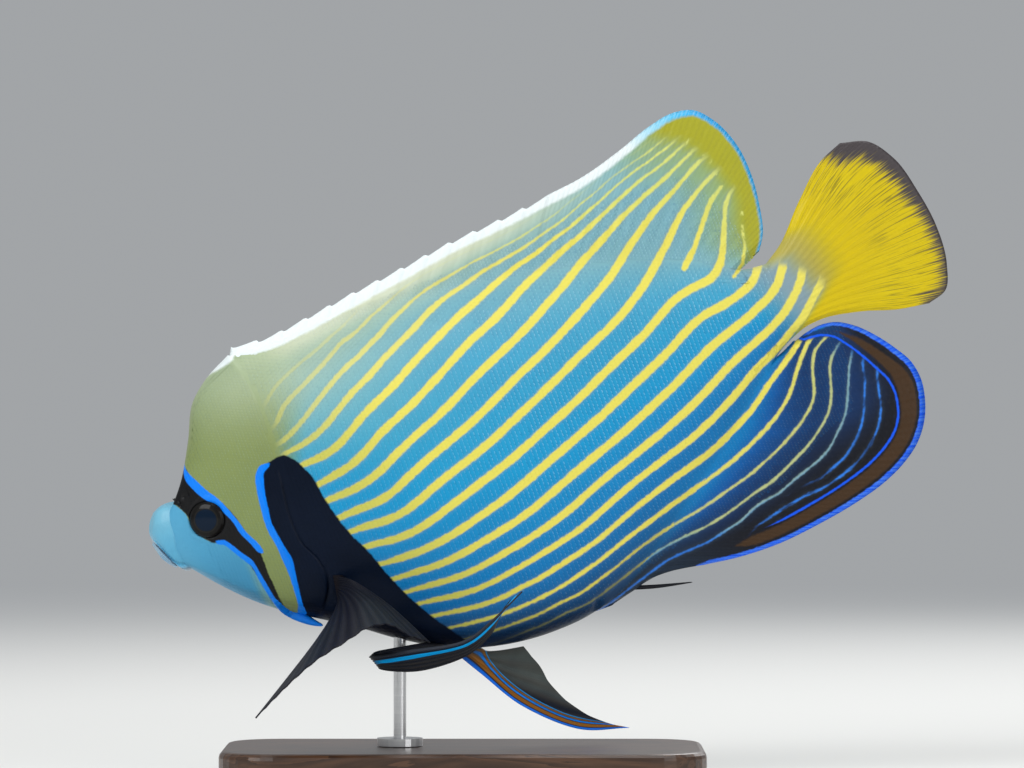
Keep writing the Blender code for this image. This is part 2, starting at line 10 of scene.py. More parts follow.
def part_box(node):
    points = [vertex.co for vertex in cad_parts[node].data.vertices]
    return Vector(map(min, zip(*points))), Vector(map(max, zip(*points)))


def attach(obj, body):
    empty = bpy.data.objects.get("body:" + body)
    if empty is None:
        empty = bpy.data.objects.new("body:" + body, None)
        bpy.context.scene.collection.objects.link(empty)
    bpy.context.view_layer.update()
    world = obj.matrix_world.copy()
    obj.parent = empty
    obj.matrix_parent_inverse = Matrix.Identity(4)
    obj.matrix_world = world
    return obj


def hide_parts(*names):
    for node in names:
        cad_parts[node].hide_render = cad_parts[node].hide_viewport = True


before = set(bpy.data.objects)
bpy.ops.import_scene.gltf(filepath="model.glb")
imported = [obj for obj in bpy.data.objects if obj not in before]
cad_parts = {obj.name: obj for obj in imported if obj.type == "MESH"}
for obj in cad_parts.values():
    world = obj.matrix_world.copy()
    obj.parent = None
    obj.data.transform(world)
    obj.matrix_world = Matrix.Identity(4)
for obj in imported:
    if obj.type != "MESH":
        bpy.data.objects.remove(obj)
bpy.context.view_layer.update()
mm = 0.001

pose = {
    "pitch": math.radians(20.5),  # head-down
    "tailSweep": 9.0,
    "sweepStart": 150.0,
    "tailTip": 332.0,
    "rodEntry": (76.5, -76.6),  # where the rod meets the belly
    "lowestTip": (148.7, -142.3),  # of the right pelvic fin
    "finClearance": 6.0,
    "gap": 0.35,
}

photo = {"scale": 0.394, "snout": (150, 525)}  # millimetres for a pixel, and the snout's pixel


# smooth curves and sheets in the fish's own plane: u towards the tail, v towards the back


def hermite(place, knots):
    slopes = np.gradient(knots, place, axis=0)

    def at(t):
        t = np.clip(np.asarray(t, float), place[0], place[-1])
        i = np.clip(np.searchsorted(place, t, side="right") - 1, 0, len(place) - 2)
        span = place[i + 1] - place[i]
        f = (t - place[i]) / span
        f, span = (x.reshape(x.shape + (1,) * (knots.ndim - 1)) for x in (f, span))
        a, b = knots[i], knots[i + 1]
        m, n = slopes[i] * span, slopes[i + 1] * span
        return (a * (1 + 2 * f) * (1 - f) ** 2 + m * f * (1 - f) ** 2
                + b * f * f * (3 - 2 * f) + n * f * f * (f - 1))

    return at


def curve(points):
    knots = np.array(points, float)
    steps = np.linalg.norm(np.diff(knots, axis=0), axis=1)
    return hermite(np.concatenate([[0], np.cumsum(steps)]) / steps.sum(), knots)


def graph(pairs):
    table = np.array(pairs, float)
    return hermite(table[:, 0], table[:, 1])


def stretch(whole, start, end):
    return lambda t: whole(start + (end - start) * np.asarray(t, float))


def patch(low, high, front, rear):
    def at(t, s):
        t, s = np.broadcast_arrays(np.asarray(t, float), np.asarray(s, float))
        a, b = t[..., None], s[..., None]
        corners = ((1 - a) * (1 - b) * low(0.0) + a * (1 - b) * low(1.0)
                   + (1 - a) * b * high(0.0) + a * b * high(1.0))
        return (1 - b) * low(t) + b * high(t) + (1 - a) * front(s) + a * rear(s) - corners

    return at


def smooth(x, start, end):  # 0 before start, 1 after end
    f = np.clip((x - start) / (end - start), 0, 1)
    return f * f * (3 - 2 * f)


def fromPhoto(points):  # pixels to the fish's plane
    points = np.array(points, float)
    x = (points[:, 0] - photo["snout"][0]) * photo["scale"]
    z = (photo["snout"][1] - points[:, 1]) * photo["scale"]
    c, s = math.cos(pose["pitch"]), math.sin(pose["pitch"])
    return np.stack([x * c + z * s, z * c - x * s], axis=1)


def tilted(u, v):
    c, s = math.cos(pose["pitch"]), math.sin(pose["pitch"])
    return u * c - v * s, u * s + v * c


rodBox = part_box("stand_rod")
rodX, _ = tilted(*pose["rodEntry"])
baseTop = tilted(*pose["lowestTip"])[1] - pose["finClearance"]
origin = np.array([(rodBox[0].x + rodBox[1].x) / 2 - rodX * mm, (rodBox[0].y + rodBox[1].y) / 2,
                   rodBox[0].z - (baseTop + pose["gap"]) * mm])


def sweepAt(u):
    share = (u - pose["sweepStart"]) / (pose["tailTip"] - pose["sweepStart"])
    return pose["tailSweep"] * np.clip(share, 0, None) ** 2


def toWorld(points):  # (u, w, v) in millimetres to the row frame in metres
    u, w, v = points[..., 0], points[..., 1], points[..., 2]
    x, z = tilted(u, v)
    return np.stack([x, w + sweepAt(u), z], axis=-1) * mm + origin


def toFish(points):
    x, y, z = np.moveaxis((np.asarray(points) - origin) / mm, -1, 0)
    c, s = math.cos(pose["pitch"]), math.sin(pose["pitch"])
    u, v = x * c + z * s, z * c - x * s
    return np.stack([u, y - sweepAt(u), v], axis=-1)


# meshes


def newMesh(name, points, faces):
    mesh = bpy.data.meshes.new(name)
    mesh.from_pydata(np.asarray(points, float).tolist(), [], faces)
    return mesh


def newObject(name, mesh):
    made = bpy.data.objects.new(name, mesh)
    bpy.context.scene.collection.objects.link(made)
    return made


def finishMesh(mesh, merge=0.0, dissolve=0.0):  # closes seams and poles and turns the faces outwards
    work = bmesh.new()
    work.from_mesh(mesh)
    if merge:
        bmesh.ops.remove_doubles(work, verts=work.verts, dist=merge)
    if dissolve:
        bmesh.ops.dissolve_degenerate(work, dist=dissolve, edges=work.edges)
    bmesh.ops.recalc_face_normals(work, faces=work.faces)
    work.to_mesh(mesh)
    work.free()
    mesh.shade_smooth()


attributeKinds = {"INT": ("value", np.int32), "FLOAT": ("value", np.float32),
                  "FLOAT_VECTOR": ("vector", np.float32), "FLOAT_COLOR": ("color", np.float32)}


def store(mesh, name, values, kind="FLOAT"):  # writes a value, vector or colour to each point
    slot, number = attributeKinds[kind]
    if kind == "FLOAT_COLOR":
        values = np.column_stack([np.clip(values, 0, 1), np.ones(len(values))])
    mesh.attributes.new(name, kind, "POINT").data.foreach_set(slot, np.asarray(values).astype(number).ravel())


def recall(mesh, name, kind="FLOAT_VECTOR"):
    slot, number = attributeKinds[kind]
    layer = mesh.attributes[name].data
    values = np.zeros(len(layer) * (3 if kind == "FLOAT_VECTOR" else 1), number)
    layer.foreach_get(slot, values)
    return values.reshape(-1, 3) if kind == "FLOAT_VECTOR" else values


def quads(index):  # the faces between the rows and columns of a grid of points
    return np.stack([index[:-1, :-1], index[1:, :-1], index[1:, 1:], index[:-1, 1:]], axis=-1).reshape(-1, 4)


# the skin: head, body, dorsal, anal and tail fins as one surface

fish = {
    "gillEdge": [(49, -57.6), (54.5, -52), (58.4, -44), (57.8, -36), (54, -27), (53.3, -20), (55.6, 2),
                 (57.5, 25), (56, 40), (52, 51.9)],
    "snoutEdge": [(9.8, -22.4), (7.7, -17.6), (6.9, -13), (7.9, -7), (8.6, -1), (11, 3.6), (13.6, 5)],
    "chin": [(9.8, -22.4), (17.6, -31.8), (29.8, -44), (38, -50.4), (49, -57.6)],
    "forehead": [(13.6, 5), (18, 12.2), (25.8, 26.1), (32.8, 39.5), (40.5, 46), (52, 51.9)],
    "back": [(52, 51.9), (60, 49), (89.4, 47.8), (122.6, 46.7), (155.2, 43.8), (186.8, 38.3), (217.4, 30.2),
             (239.3, 21.2), (254.5, 12.4), (263.4, 11.4)],
    "belly": [(49, -57.6), (62, -66), (76.5, -76.6), (97.4, -88.2), (115, -93.2), (135, -95), (152, -93.4),
              (168, -87), (188.7, -74.8), (211.3, -59.2), (233.8, -42), (250, -28), (257, -22.8),
              (262.8, -19.8)],
    "tailBase": [(262.8, -19.8), (266.5, -4), (263.4, 11.4)],
    "dorsalSpiny": [(54, 54.8), (70, 53.6), (84, 55), (106, 58), (128, 60.5), (150, 63.4), (172, 65),
                    (192, 67)],
    "dorsalSoft": [(192, 67), (207, 68.8), (225, 73.6), (240, 78.6), (250, 80.2), (258, 78.4), (264.4, 71.5),
                   (269, 61), (270.6, 46), (269.3, 34), (266.4, 22.5), (262, 16)],
    "analSpiny": [(159, -93.8), (170.5, -90.8), (181.4, -88.7), (190, -89.3), (199, -91.2)],
    "analSoft": [(199, -91.2), (213, -93.2), (230, -93.8), (247, -92.2), (265, -89.2), (277, -86),
                 (287, -81.6), (295, -76), (300.6, -69), (304, -61), (305.4, -52), (304, -44.5), (300, -37.5),
                 (294, -29.5), (288, -23.6), (281, -19.5), (275, -18.6), (267.6, -19.8)],
    "tailTop": [(263.4, 11.4), (270, 15.6), (284.7, 30.3), (298.4, 42), (308, 46)],
    "tailMargin": [(319, -25.8), (326.9, -23.2), (331, -14), (332.5, 2), (330.4, 17.4), (326, 33),
                   (318.8, 42.6), (308, 46)],
    "tailBottom": [(262.8, -19.8), (268.9, -17.6), (275.6, -16.8), (291.4, -19.2), (306.6, -23.8),
                   (319, -25.8)],
    "stalkEnd": 266.0,
    "halfWidth": [(7, 9), (12, 10.6), (20, 13.2), (30, 15.8), (45, 18.8), (60, 21), (85, 22.8), (110, 23),
                  (150, 20.5), (190, 15.5), (225, 10.2), (250, 6.6), (266, 5.2)],
    "halfUpper": [(10, 2.6), (52, 2.8), (100, 3.2), (150, 3.6), (200, 3.6), (235, 3.1), (266, 3.4)],
    "halfLower": [(10, 3), (30, 4), (50, 5.2), (75, 5.8), (110, 5.8), (145, 4.6), (168, 3.8), (200, 3.6),
                  (235, 3.1), (266, 3.4)],
    "bluntUpper": [(10, 0.5), (30, 0.52), (60, 0.72), (120, 0.78), (266, 0.85)],
    "bluntLower": [(10, 0.5), (50, 0.55), (110, 0.58), (145, 0.64), (180, 0.85), (266, 0.85)],
    "dorsalStart": 0.002, "dorsalSplit": 0.565, "dorsalEnd": 0.955,
    "analStart": 0.455, "analSplit": 0.545, "analEnd": 0.962,
    "dorsalSpines": 14, "dorsalRays": 20, "analSpines": 4, "analRays": 19, "tailRays": 17,
    "nostrils": [(14.6, 2.8, 0.8), (17.2, 5.8, 0.7)],
    "finEdge": 0.3, "ridge": 0.34, "spineNotch": 1.9,
    "gillLift": 0.8, "gillSlit": 0.35, "orbitRim": 0.4, "socket": 1.6, "nostrilDepth": 0.7,
    "snoutTuck": 3.2,  # how far the skin closes inside the lips
    "finBlend": 0.02,  # the share of the body over which a fin rises out of its edge
    "filletRows": 22, "filletReach": 3.4, "rimWidth": 1e-6,
    "coatDepth": 0.2,  # how far the skin lies below the scales' tips
    "eyeAt": (22.6, -5.9), "eyeRadius": 7.1, "eyeBulge": 2.3, "eyeDepth": 5.0, "eyeToeIn": math.radians(13),
    "headColumns": 84, "bodyColumns": 208, "tailColumns": 62, "rows": 104, "dorsalRows": 26, "analRows": 30,
}

halfWidth, halfUpper, halfLower = graph(fish["halfWidth"]), graph(fish["halfUpper"]), graph(fish["halfLower"])
bluntUpper, bluntLower = graph(fish["bluntUpper"]), graph(fish["bluntLower"])
back, belly = curve(fish["back"]), curve(fish["belly"])


def bodyHalf(at, s):  # half the body's thickness
    u = at[..., 0]
    across = 2 * s - 1
    edge = np.where(across > 0, halfUpper(u), halfLower(u))
    middle = halfUpper(u) * 0.5 + halfLower(u) * 0.5
    edge = middle + (edge - middle) * np.clip(np.abs(across) * 2, 0, 1)
    blunt = np.where(across > 0, bluntUpper(u), bluntLower(u))
    return edge + (halfWidth(u) - edge) * (1 - np.abs(across) ** 2.2) ** blunt


def roundOff(distance, depth):  # closes a thickness to nothing at a rim
    return np.sqrt(1 - (1 - np.clip(distance / depth, 0, 1)) ** 2)


def closedMesh(name, leftPoints, faces):  # mirrors the left side to the right and joins them at the rim
    count = len(leftPoints)
    rim = leftPoints[:, 1] < fish["rimWidth"]
    other = np.arange(count)
    other[~rim] = count + np.arange((~rim).sum())
    left = leftPoints * [1, -1, 1]
    points = toWorld(np.concatenate([left, leftPoints[~rim]]))
    faces = np.array(faces)
    mesh = newMesh(name, points, np.concatenate([faces, other[faces][:, ::-1]]).tolist())
    store(mesh, "source", np.arange(len(points)), "INT")
    finishMesh(mesh, dissolve=2e-6)
    source = recall(mesh, "source", "INT")
    mesh.attributes.remove(mesh.attributes["source"])
    return newObject(name, mesh), np.concatenate([np.arange(count), np.where(~rim)[0]])[source]


def skinColumns():
    rows = fish["rows"]
    even = np.linspace(0, 1, rows)
    s = 0.4 * even + 0.6 * (0.5 - 0.5 * np.cos(np.pi * even))
    gillEdge, tailBase = curve(fish["gillEdge"]), curve(fish["tailBase"])
    head = patch(curve(fish["chin"]), curve(fish["forehead"]), curve(fish["snoutEdge"]), gillEdge)
    body = patch(belly, back, gillEdge, tailBase)
    tail = patch(curve(fish["tailBottom"]), curve(fish["tailTop"]), tailBase, curve(fish["tailMargin"]))
    tHead = np.linspace(0, 1, fish["headColumns"])
    tBody = np.concatenate([[0.0008, 0.004], np.linspace(0.008, 1, fish["bodyColumns"] - 2)])
    tTail = np.linspace(0, 0.996, fish["tailColumns"] + 1)[1:]

    def capped(at, half, keepTop=0.0, keepLow=0.0):
        top = np.linalg.norm(at - at[:, -1:], axis=-1)
        low = np.linalg.norm(at - at[:, :1], axis=-1)
        capTop = roundOff(top, 1.25 * np.maximum(half[:, -1:], 0.35))
        capLow = roundOff(low, 1.25 * np.maximum(half[:, :1], 0.35))
        return half * (keepTop + (1 - keepTop) * capTop) * (keepLow + (1 - keepLow) * capLow)

    at = head(tHead[:, None], s[None, :])
    across = np.broadcast_to(s[None, :], at.shape[:2])
    t = tHead[:, None]
    cover = smooth(t, 0.8, 0.96) * smooth(across, 0, 0.1) * (1 - smooth(across, 0.46, 0.6))
    half = bodyHalf(at, across)
    eye = np.linalg.norm(at - np.array(fish["eyeAt"]), axis=-1)
    plain = half.copy()
    half = half + fish["gillLift"] * cover
    half += fish["orbitRim"] * np.exp(-((eye - fish["eyeRadius"] - 0.9) / 0.9) ** 2)
    for u, v, radius in fish["nostrils"]:
        half -= fish["nostrilDepth"] * np.exp(-(np.hypot(at[..., 0] - u, at[..., 1] - v) / radius) ** 2)
    half -= fish["socket"] * (1 - smooth(eye, fish["eyeRadius"] - 1.2, fish["eyeRadius"] + 0.3))
    half = capped(at, half)
    eyeOut = plain[np.unravel_index(eye.argmin(), eye.shape)]

    # two more columns close the snout inside the lips
    inside = np.sin(np.pi * s) * fish["snoutTuck"]
    front = [np.stack([at[0, :, 0] - inside * k, at[0, :, 1]], axis=-1) for k in (1.0, 0.7)]
    at = np.concatenate([[front[0]], [front[1]], at])
    half = np.concatenate([[half[0] * 0], [half[0] * 0.8], half])
    columns, halves = [at], [half]

    at = body(tBody[:, None], s[None, :])
    across = np.broadcast_to(s[None, :], at.shape[:2])
    blend, keeps = fish["finBlend"], []
    for start, end in ((fish["dorsalStart"], fish["dorsalEnd"]), (fish["analStart"], fish["analEnd"])):
        used = tBody[(tBody >= start) & (tBody <= end)]
        sinking = smooth(tBody, used[-1] - blend, used[-1])
        keeps.append(smooth(tBody, used[0], used[0] + blend) * (1 - sinking))
    keepTop, keepLow = keeps
    slit = np.exp(-((tBody - tBody[0]) / 0.004) ** 2)[:, None] * smooth(across, 0, 0.1)
    slit = slit * (1 - smooth(across, 0.46, 0.58))
    half = capped(at, bodyHalf(at, across) - fish["gillSlit"] * slit, keepTop[:, None], keepLow[:, None])
    columns.append(at)
    halves.append(half)

    at = tail(tTail[:, None], s[None, :])
    across = np.broadcast_to(s[None, :], at.shape[:2])
    t = tTail[:, None]
    crest = 0.5 + 0.5 * np.cos(2 * np.pi * across * (fish["tailRays"] - 1))
    half = fish["finEdge"] + (bodyHalf(at * 0 + fish["stalkEnd"], across) - fish["finEdge"]) * (1 - t) ** 1.4
    half = half + fish["ridge"] * crest * np.clip(t * 4, 0, 1) * (1.2 - 0.7 * t)
    rear = np.linalg.norm(at - at[-1:], axis=-1)
    half = capped(at, half) * roundOff(rear, 0.8)
    columns.append(at)
    halves.append(half)
    return s, tBody, columns, halves, keepTop, keepLow, eyeOut


def finGrid(base, edge, baseHalf, keep, t, rays, rows, spiny):
    place = patch(base, edge, curve([base(0.0), edge(0.0)]), curve([base(1.0), edge(1.0)]))
    height = np.linalg.norm(edge(t) - base(t), axis=-1)[:, None]
    reach = np.linspace(0, 1, rows)[None, :]
    ray, top = t * (rays - 1), 1.0
    if spiny:  # each spine's tip stands proud of the membrane behind it
        f = ray - np.floor(ray)
        dip = np.minimum(f / 0.18, 1) * (1 - f) ** 0.8
        top = 1 - (np.minimum(fish["spineNotch"] / height[:, 0], 0.3) * dip)[:, None]
    at = place(t[:, None], reach * top * 0.997)
    half = fish["finEdge"] + (baseHalf(at[..., 0]) - fish["finEdge"]) * (1 - reach) ** 0.85
    ridge = fish["ridge"] * (0.5 + 0.5 * np.cos(2 * np.pi * ray))[:, None]
    half = half + ridge * np.clip(reach * 4, 0, 1) * (1.15 - 0.6 * reach)
    half = half * roundOff((1 - reach) * height, 0.7) * keep[:, None]
    return at, half, np.broadcast_to(ray[:, None], half.shape)


def fillet(points, flankSide, finSide):  # rounds the crease where a fin grows out of the flank
    line = np.concatenate([flankSide, finSide], axis=1)
    at, half = points[line][..., [0, 2]], points[line][..., 1]
    step = np.linalg.norm(np.diff(at, axis=1), axis=-1)
    along = np.concatenate([np.zeros((len(line), 1)), np.cumsum(step, axis=1)], axis=1)
    along -= along[:, [flankSide.shape[1] - 1]]
    room = np.gradient(along, axis=1)[:, None, :]
    weight = np.exp(-((along[:, :, None] - along[:, None, :]) / fish["filletReach"]) ** 2) * room
    softer = (weight * half[:, None, :]).sum(-1) / weight.sum(-1)
    share = 1 - smooth(np.abs(along), 1.5 * fish["filletReach"], 2.8 * fish["filletReach"])
    share = share * (half > fish["rimWidth"])  # the rim stays where both sides meet
    points[line, 1] = half + (softer - half) * share


def buildSkin():
    s, tBody, columns, halves, keepTop, keepLow, eyeOut = skinColumns()
    at, half = np.concatenate(columns), np.concatenate(halves)
    count, rows = half.shape
    firstBody, lastBody = len(columns[0]), len(columns[0]) + len(tBody)
    index = np.arange(count * rows).reshape(count, rows)
    points = [np.stack([at[..., 0], half, at[..., 1]], axis=-1).reshape(-1, 3)]
    part = [np.repeat([0, 1, 2], [len(c) * rows for c in columns])]
    tailPlace = np.zeros((count, rows, 2))
    tailPlace[lastBody:, :, 0] = np.linspace(0, 1, fish["tailColumns"] + 1)[1:, None]
    tailPlace[..., 1] = s[None, :] * (fish["tailRays"] - 1)
    rays = [tailPlace.reshape(-1, 2)]
    faces, fillets = [quads(index)], []
    total = count * rows
    depth = np.zeros((count, rows))
    coated = smooth(tBody, 0, 0.04) * (1 - smooth(tBody, 0.95, 1))
    depth[firstBody:lastBody] = fish["coatDepth"] * coated[:, None]
    for label, fin, whole, baseHalf, keep, row in ((3, "dorsal", back, halfUpper, keepTop, rows - 1),
                                                   (4, "anal", belly, halfLower, keepLow, 0)):
        start, split, end, finRows = (fish[fin + word] for word in ("Start", "Split", "End", "Rows"))
        used = np.where((tBody >= start) & (tBody <= end))[0]
        front, rear = used[tBody[used] <= split], used[tBody[used] > split]
        sheets = [finGrid(stretch(whole, start, split), curve(fish[fin + "Spiny"]), baseHalf, keep[front],
                          (tBody[front] - start) / (split - start), fish[fin + "Spines"], finRows, True),
                  finGrid(stretch(whole, split, end), curve(fish[fin + "Soft"]), baseHalf, keep[rear],
                          (tBody[rear] - split) / (end - split), fish[fin + "Rays"], finRows, False)]
        finAt, finHalf, finRay = (np.concatenate([sheet[k] for sheet in sheets])[:, 1:] for k in range(3))
        finHalf[0], finHalf[-1] = 0, 0
        new = total + np.arange(finHalf.size).reshape(finHalf.shape)
        total += finHalf.size
        points.append(np.stack([finAt[..., 0], finHalf, finAt[..., 1]], axis=-1).reshape(-1, 3))
        part.append(np.full(finHalf.size, label))
        reach = np.broadcast_to(np.linspace(0, 1, finRows)[None, 1:], finHalf.shape)
        rays.append(np.stack([reach, finRay], axis=-1).reshape(-1, 2))
        root = index[firstBody + used, row]
        faces.append(quads(np.concatenate([root[:, None], new], axis=1)))
        nearRows = np.arange(rows)[-fish["filletRows"]:] if row else np.arange(fish["filletRows"])[::-1]
        fillets.append((index[firstBody + used][:, nearRows], new[:, :fish["filletRows"] // 2]))
    points, part, rays = np.concatenate(points), np.concatenate(part), np.concatenate(rays)
    points[:, 1] = np.maximum(points[:, 1] - depth.ravel()[np.minimum(np.arange(len(points)), depth.size - 1)]
                              * (points[:, 1] > 1) * (part == 1), 0)
    for flankSide, finSide in fillets:
        fillet(points, flankSide, finSide)
    made, source = closedMesh("fish_skin", points, np.concatenate(faces))
    return made, points[source], part[source], rays[source], eyeOut


# markings, traced as a few guide lines in photo pixels

stripes = {
    -3: [(271, 397), (277, 386), (302, 362), (322, 346), (340, 330)],
    -2: [(274, 429), (284, 407), (305, 385), (330, 357), (342, 341), (370, 317), (385, 305)],
    -1: [(284, 442), (305, 420), (322, 397), (340, 375), (360, 357), (380, 335), (395, 317), (415, 298),
         (453, 274), (488, 255), (518, 239), (553, 216), (582, 193), (612, 169), (635, 153)],
    0: [(287, 452), (324, 428), (353, 393), (383, 360), (415, 328), (447, 296), (484, 270), (526, 246),
        (553, 227), (582, 202), (612, 176), (635, 160), (653, 149)],
    1: [(300, 466), (336, 448), (364, 416), (395, 385), (424, 352), (455, 321), (487, 292), (519, 264),
        (554, 238), (588, 211), (615, 187), (635, 170), (656, 154), (676, 140)],
    2: [(317, 486), (353, 464), (382, 433), (413, 404), (442, 373), (471, 341), (502, 312), (531, 280),
        (562, 251), (594, 223), (625, 194), (663, 164), (682, 145)],
    3: [(329, 499), (369, 480), (402, 449), (436, 418), (468, 385), (501, 353), (533, 321), (563, 287),
        (592, 251), (622, 217), (656, 186), (689, 155)],
    4: [(341, 517), (382, 499), (417, 469), (452, 439), (487, 408), (519, 375), (553, 342), (584, 308),
        (614, 272), (639, 233), (668, 197), (698, 162)],
    5: [(355, 529), (399, 514), (436, 485), (473, 456), (508, 425), (542, 393), (575, 360), (609, 328),
        (639, 292), (662, 252), (683, 210), (713, 175)],
    6: [(370, 544), (411, 532), (447, 508), (482, 481), (517, 454), (549, 425), (582, 395), (613, 364),
        (644, 334), (673, 301), (709, 280), (722, 255), (725, 222), (731, 191)],
    7: [(384, 562), (427, 547), (466, 525), (503, 499), (538, 470), (573, 440), (607, 410), (639, 379),
        (672, 347), (704, 315), (735, 297), (750, 285), (757, 270)],
    8: [(396, 577), (439, 563), (480, 542), (519, 518), (555, 489), (590, 459), (625, 430), (659, 399),
        (692, 366), (725, 335), (760, 305), (776, 287), (783, 264)],
    9: [(408, 590), (450, 578), (490, 560), (528, 538), (565, 512), (598, 483), (632, 456), (666, 428),
        (699, 398), (729, 366), (762, 336), (790, 302), (803, 264)],
    10: [(420, 602), (463, 592), (503, 575), (541, 553), (578, 529), (612, 500), (646, 472), (681, 446),
         (714, 417), (744, 384), (774, 352), (803, 318), (823, 279)],
    11: [(435, 614), (480, 604), (522, 585), (561, 563), (600, 537), (635, 507), (672, 479), (710, 452),
         (743, 420), (770, 382), (797, 346)],
    12: [(465, 623), (505, 612), (544, 595), (581, 572), (616, 546), (651, 520), (686, 495), (722, 469),
         (754, 441), (782, 408), (798, 368)],
    13: [(495, 629), (537, 614), (578, 594), (614, 568), (650, 540), (688, 516), (726, 491), (762, 464),
         (794, 432), (815, 393), (815, 348)],
    14: [(529, 629), (565, 612), (598, 596), (615, 583), (652, 555), (692, 533), (731, 510), (769, 483),
         (802, 452), (828, 415), (830, 371), (836, 350)],
    15: [(610, 603), (640, 580), (669, 559), (708, 542), (744, 520), (779, 495), (811, 466), (837, 432),
         (848, 392), (852, 360)],
    16: [(820, 480), (845, 458), (858, 437), (864, 412), (867, 378), (862, 362)],
    17: [(756, 526), (786, 506), (812, 492), (838, 478), (862, 457), (877, 432), (882, 412), (877, 380)],
}
shortStripes = [  # each with half its width in millimetres
    ([(684, 268), (694, 249), (703, 222), (710, 202), (722, 186)], 1.3),
    ([(734, 277), (743, 263), (745, 246), (742, 225)], 0.8),
    ([(742, 214), (742, 211)], 0.6), ([(715, 175), (719, 168)], 0.5), ([(708, 165), (712, 158)], 0.5),
    ([(685, 145), (690, 138)], 0.5), ([(702, 159), (708, 150)], 0.5),
]
shapes = {  # closed outlines on the head and flank
    "face": [(140, 480), (176, 504), (184, 510), (188, 514), (192, 523), (198, 531), (205, 537), (213, 541),
             (219, 542), (226, 542), (234, 548), (244, 556), (254, 563), (260, 574), (268, 588), (276, 602),
             (283, 611), (276, 630), (200, 620), (130, 570)],
    "mask": [(160, 466), (186, 467), (193, 480), (203, 489), (214, 496), (225, 503), (235, 513), (243, 524),
             (252, 537), (260, 546), (265, 558), (270, 572), (277, 588), (284, 604), (290, 614), (284, 611),
             (275, 600), (266, 586), (257, 572), (251, 563), (243, 556), (234, 547), (227, 543), (219, 542),
             (213, 541), (205, 537), (198, 531), (192, 523), (188, 514), (184, 510), (176, 504), (160, 500)],
    "upperBand": [(176, 448), (185, 463), (188, 470), (198, 480), (208, 489), (220, 498), (230, 508),
                  (240, 520), (250, 533), (260, 542), (265, 552), (263, 552), (252, 542), (242, 532),
                  (234, 520), (226, 512), (216, 504), (204, 497), (196, 490), (187, 480), (183, 466),
                  (170, 456)],
    "lowerBand": [(217, 540), (226, 539), (234, 544), (244, 552), (254, 559), (260, 569), (268, 583),
                  (276, 597), (284, 607), (292, 612), (302, 613), (312, 619), (322, 626), (325, 640),
                  (300, 640), (282, 614), (276, 605), (268, 592), (260, 578), (254, 566), (244, 558),
                  (234, 550), (226, 544), (219, 543)],
    "secondBand": [(272, 462), (262, 465), (258, 474), (259, 490), (262, 504), (265, 516), (270, 530),
                   (278, 544), (284, 558), (290, 572), (295, 588), (299, 604), (299, 614), (307, 614),
                   (304, 604), (300, 586), (297, 572), (294, 558), (287, 546), (279, 532), (273, 520),
                   (271, 510), (268, 496), (266, 480), (266, 472), (272, 464)],
    "patch": [(268, 464), (263, 473), (263, 485), (267, 505), (271, 520), (278, 532), (285, 547), (291, 560),
              (296, 585), (301, 603), (304, 616), (330, 640), (380, 670), (450, 700), (500, 670), (480, 650),
              (462, 636), (450, 627), (438, 619), (420, 604), (400, 585), (385, 568), (370, 550), (358, 538),
              (345, 524), (336, 512), (329, 501), (322, 490), (315, 476), (306, 467), (300, 461), (293, 457),
              (285, 454), (277, 458)],
    "olive": [(640, 120), (658, 136), (682, 142), (702, 155), (722, 175), (737, 197), (741, 225), (748, 248),
              (752, 264), (768, 262), (800, 200), (740, 90), (660, 90)],
}
marginBands = {  # by the share of the way along each margin, in millimetres
    "dorsal": [(0, 5.4), (0.15, 5.6), (0.3, 4.9), (0.5, 4.0), (0.62, 3.2), (0.7, 2.9), (0.8, 2.0), (0.9, 1.4),
               (1, 0.9)],
    "analBlue": [(0, 0.6), (0.12, 1.2), (0.3, 1.7), (0.55, 2.3), (0.75, 2.5), (0.9, 1.8), (1, 0.8)],
    "analLine": [(0, 1.8), (0.12, 6.4), (0.3, 7.9), (0.5, 9.4), (0.65, 10.6), (0.78, 11.8), (0.9, 8.4),
                 (1, 2.0)],
    "tailGrey": [(0, 3.0), (0.25, 3.6), (0.5, 5.4), (0.75, 7.5), (1, 8.5)],
}
stripeLook = {  # by the number of the stripe
    "half": [(-3, 0.75), (-1, 1.0), (0, 1.3), (1, 1.55), (8.5, 1.7), (10, 1.5), (11, 1.35), (12, 1.05),
             (13, 0.66), (14, 0.46), (15, 0.4), (18, 0.4)],  # half the width in millimetres
    "onAnalFin": [(10, 0.1), (11, 0.15), (12, 0.3), (13, 0.25), (14, 0)],  # the share it loses there
    "nearBack": [(-1, 0.6), (0, 0.62), (1, 0.7), (2, 0.86), (3, 1)],  # the share it keeps there
    "shown": [(-3.6, 0), (-3, 0.3), (-2, 0.55), (-1, 0.75), (0, 0.9), (1, 1)],
    "smoothing": 3e-3,
}
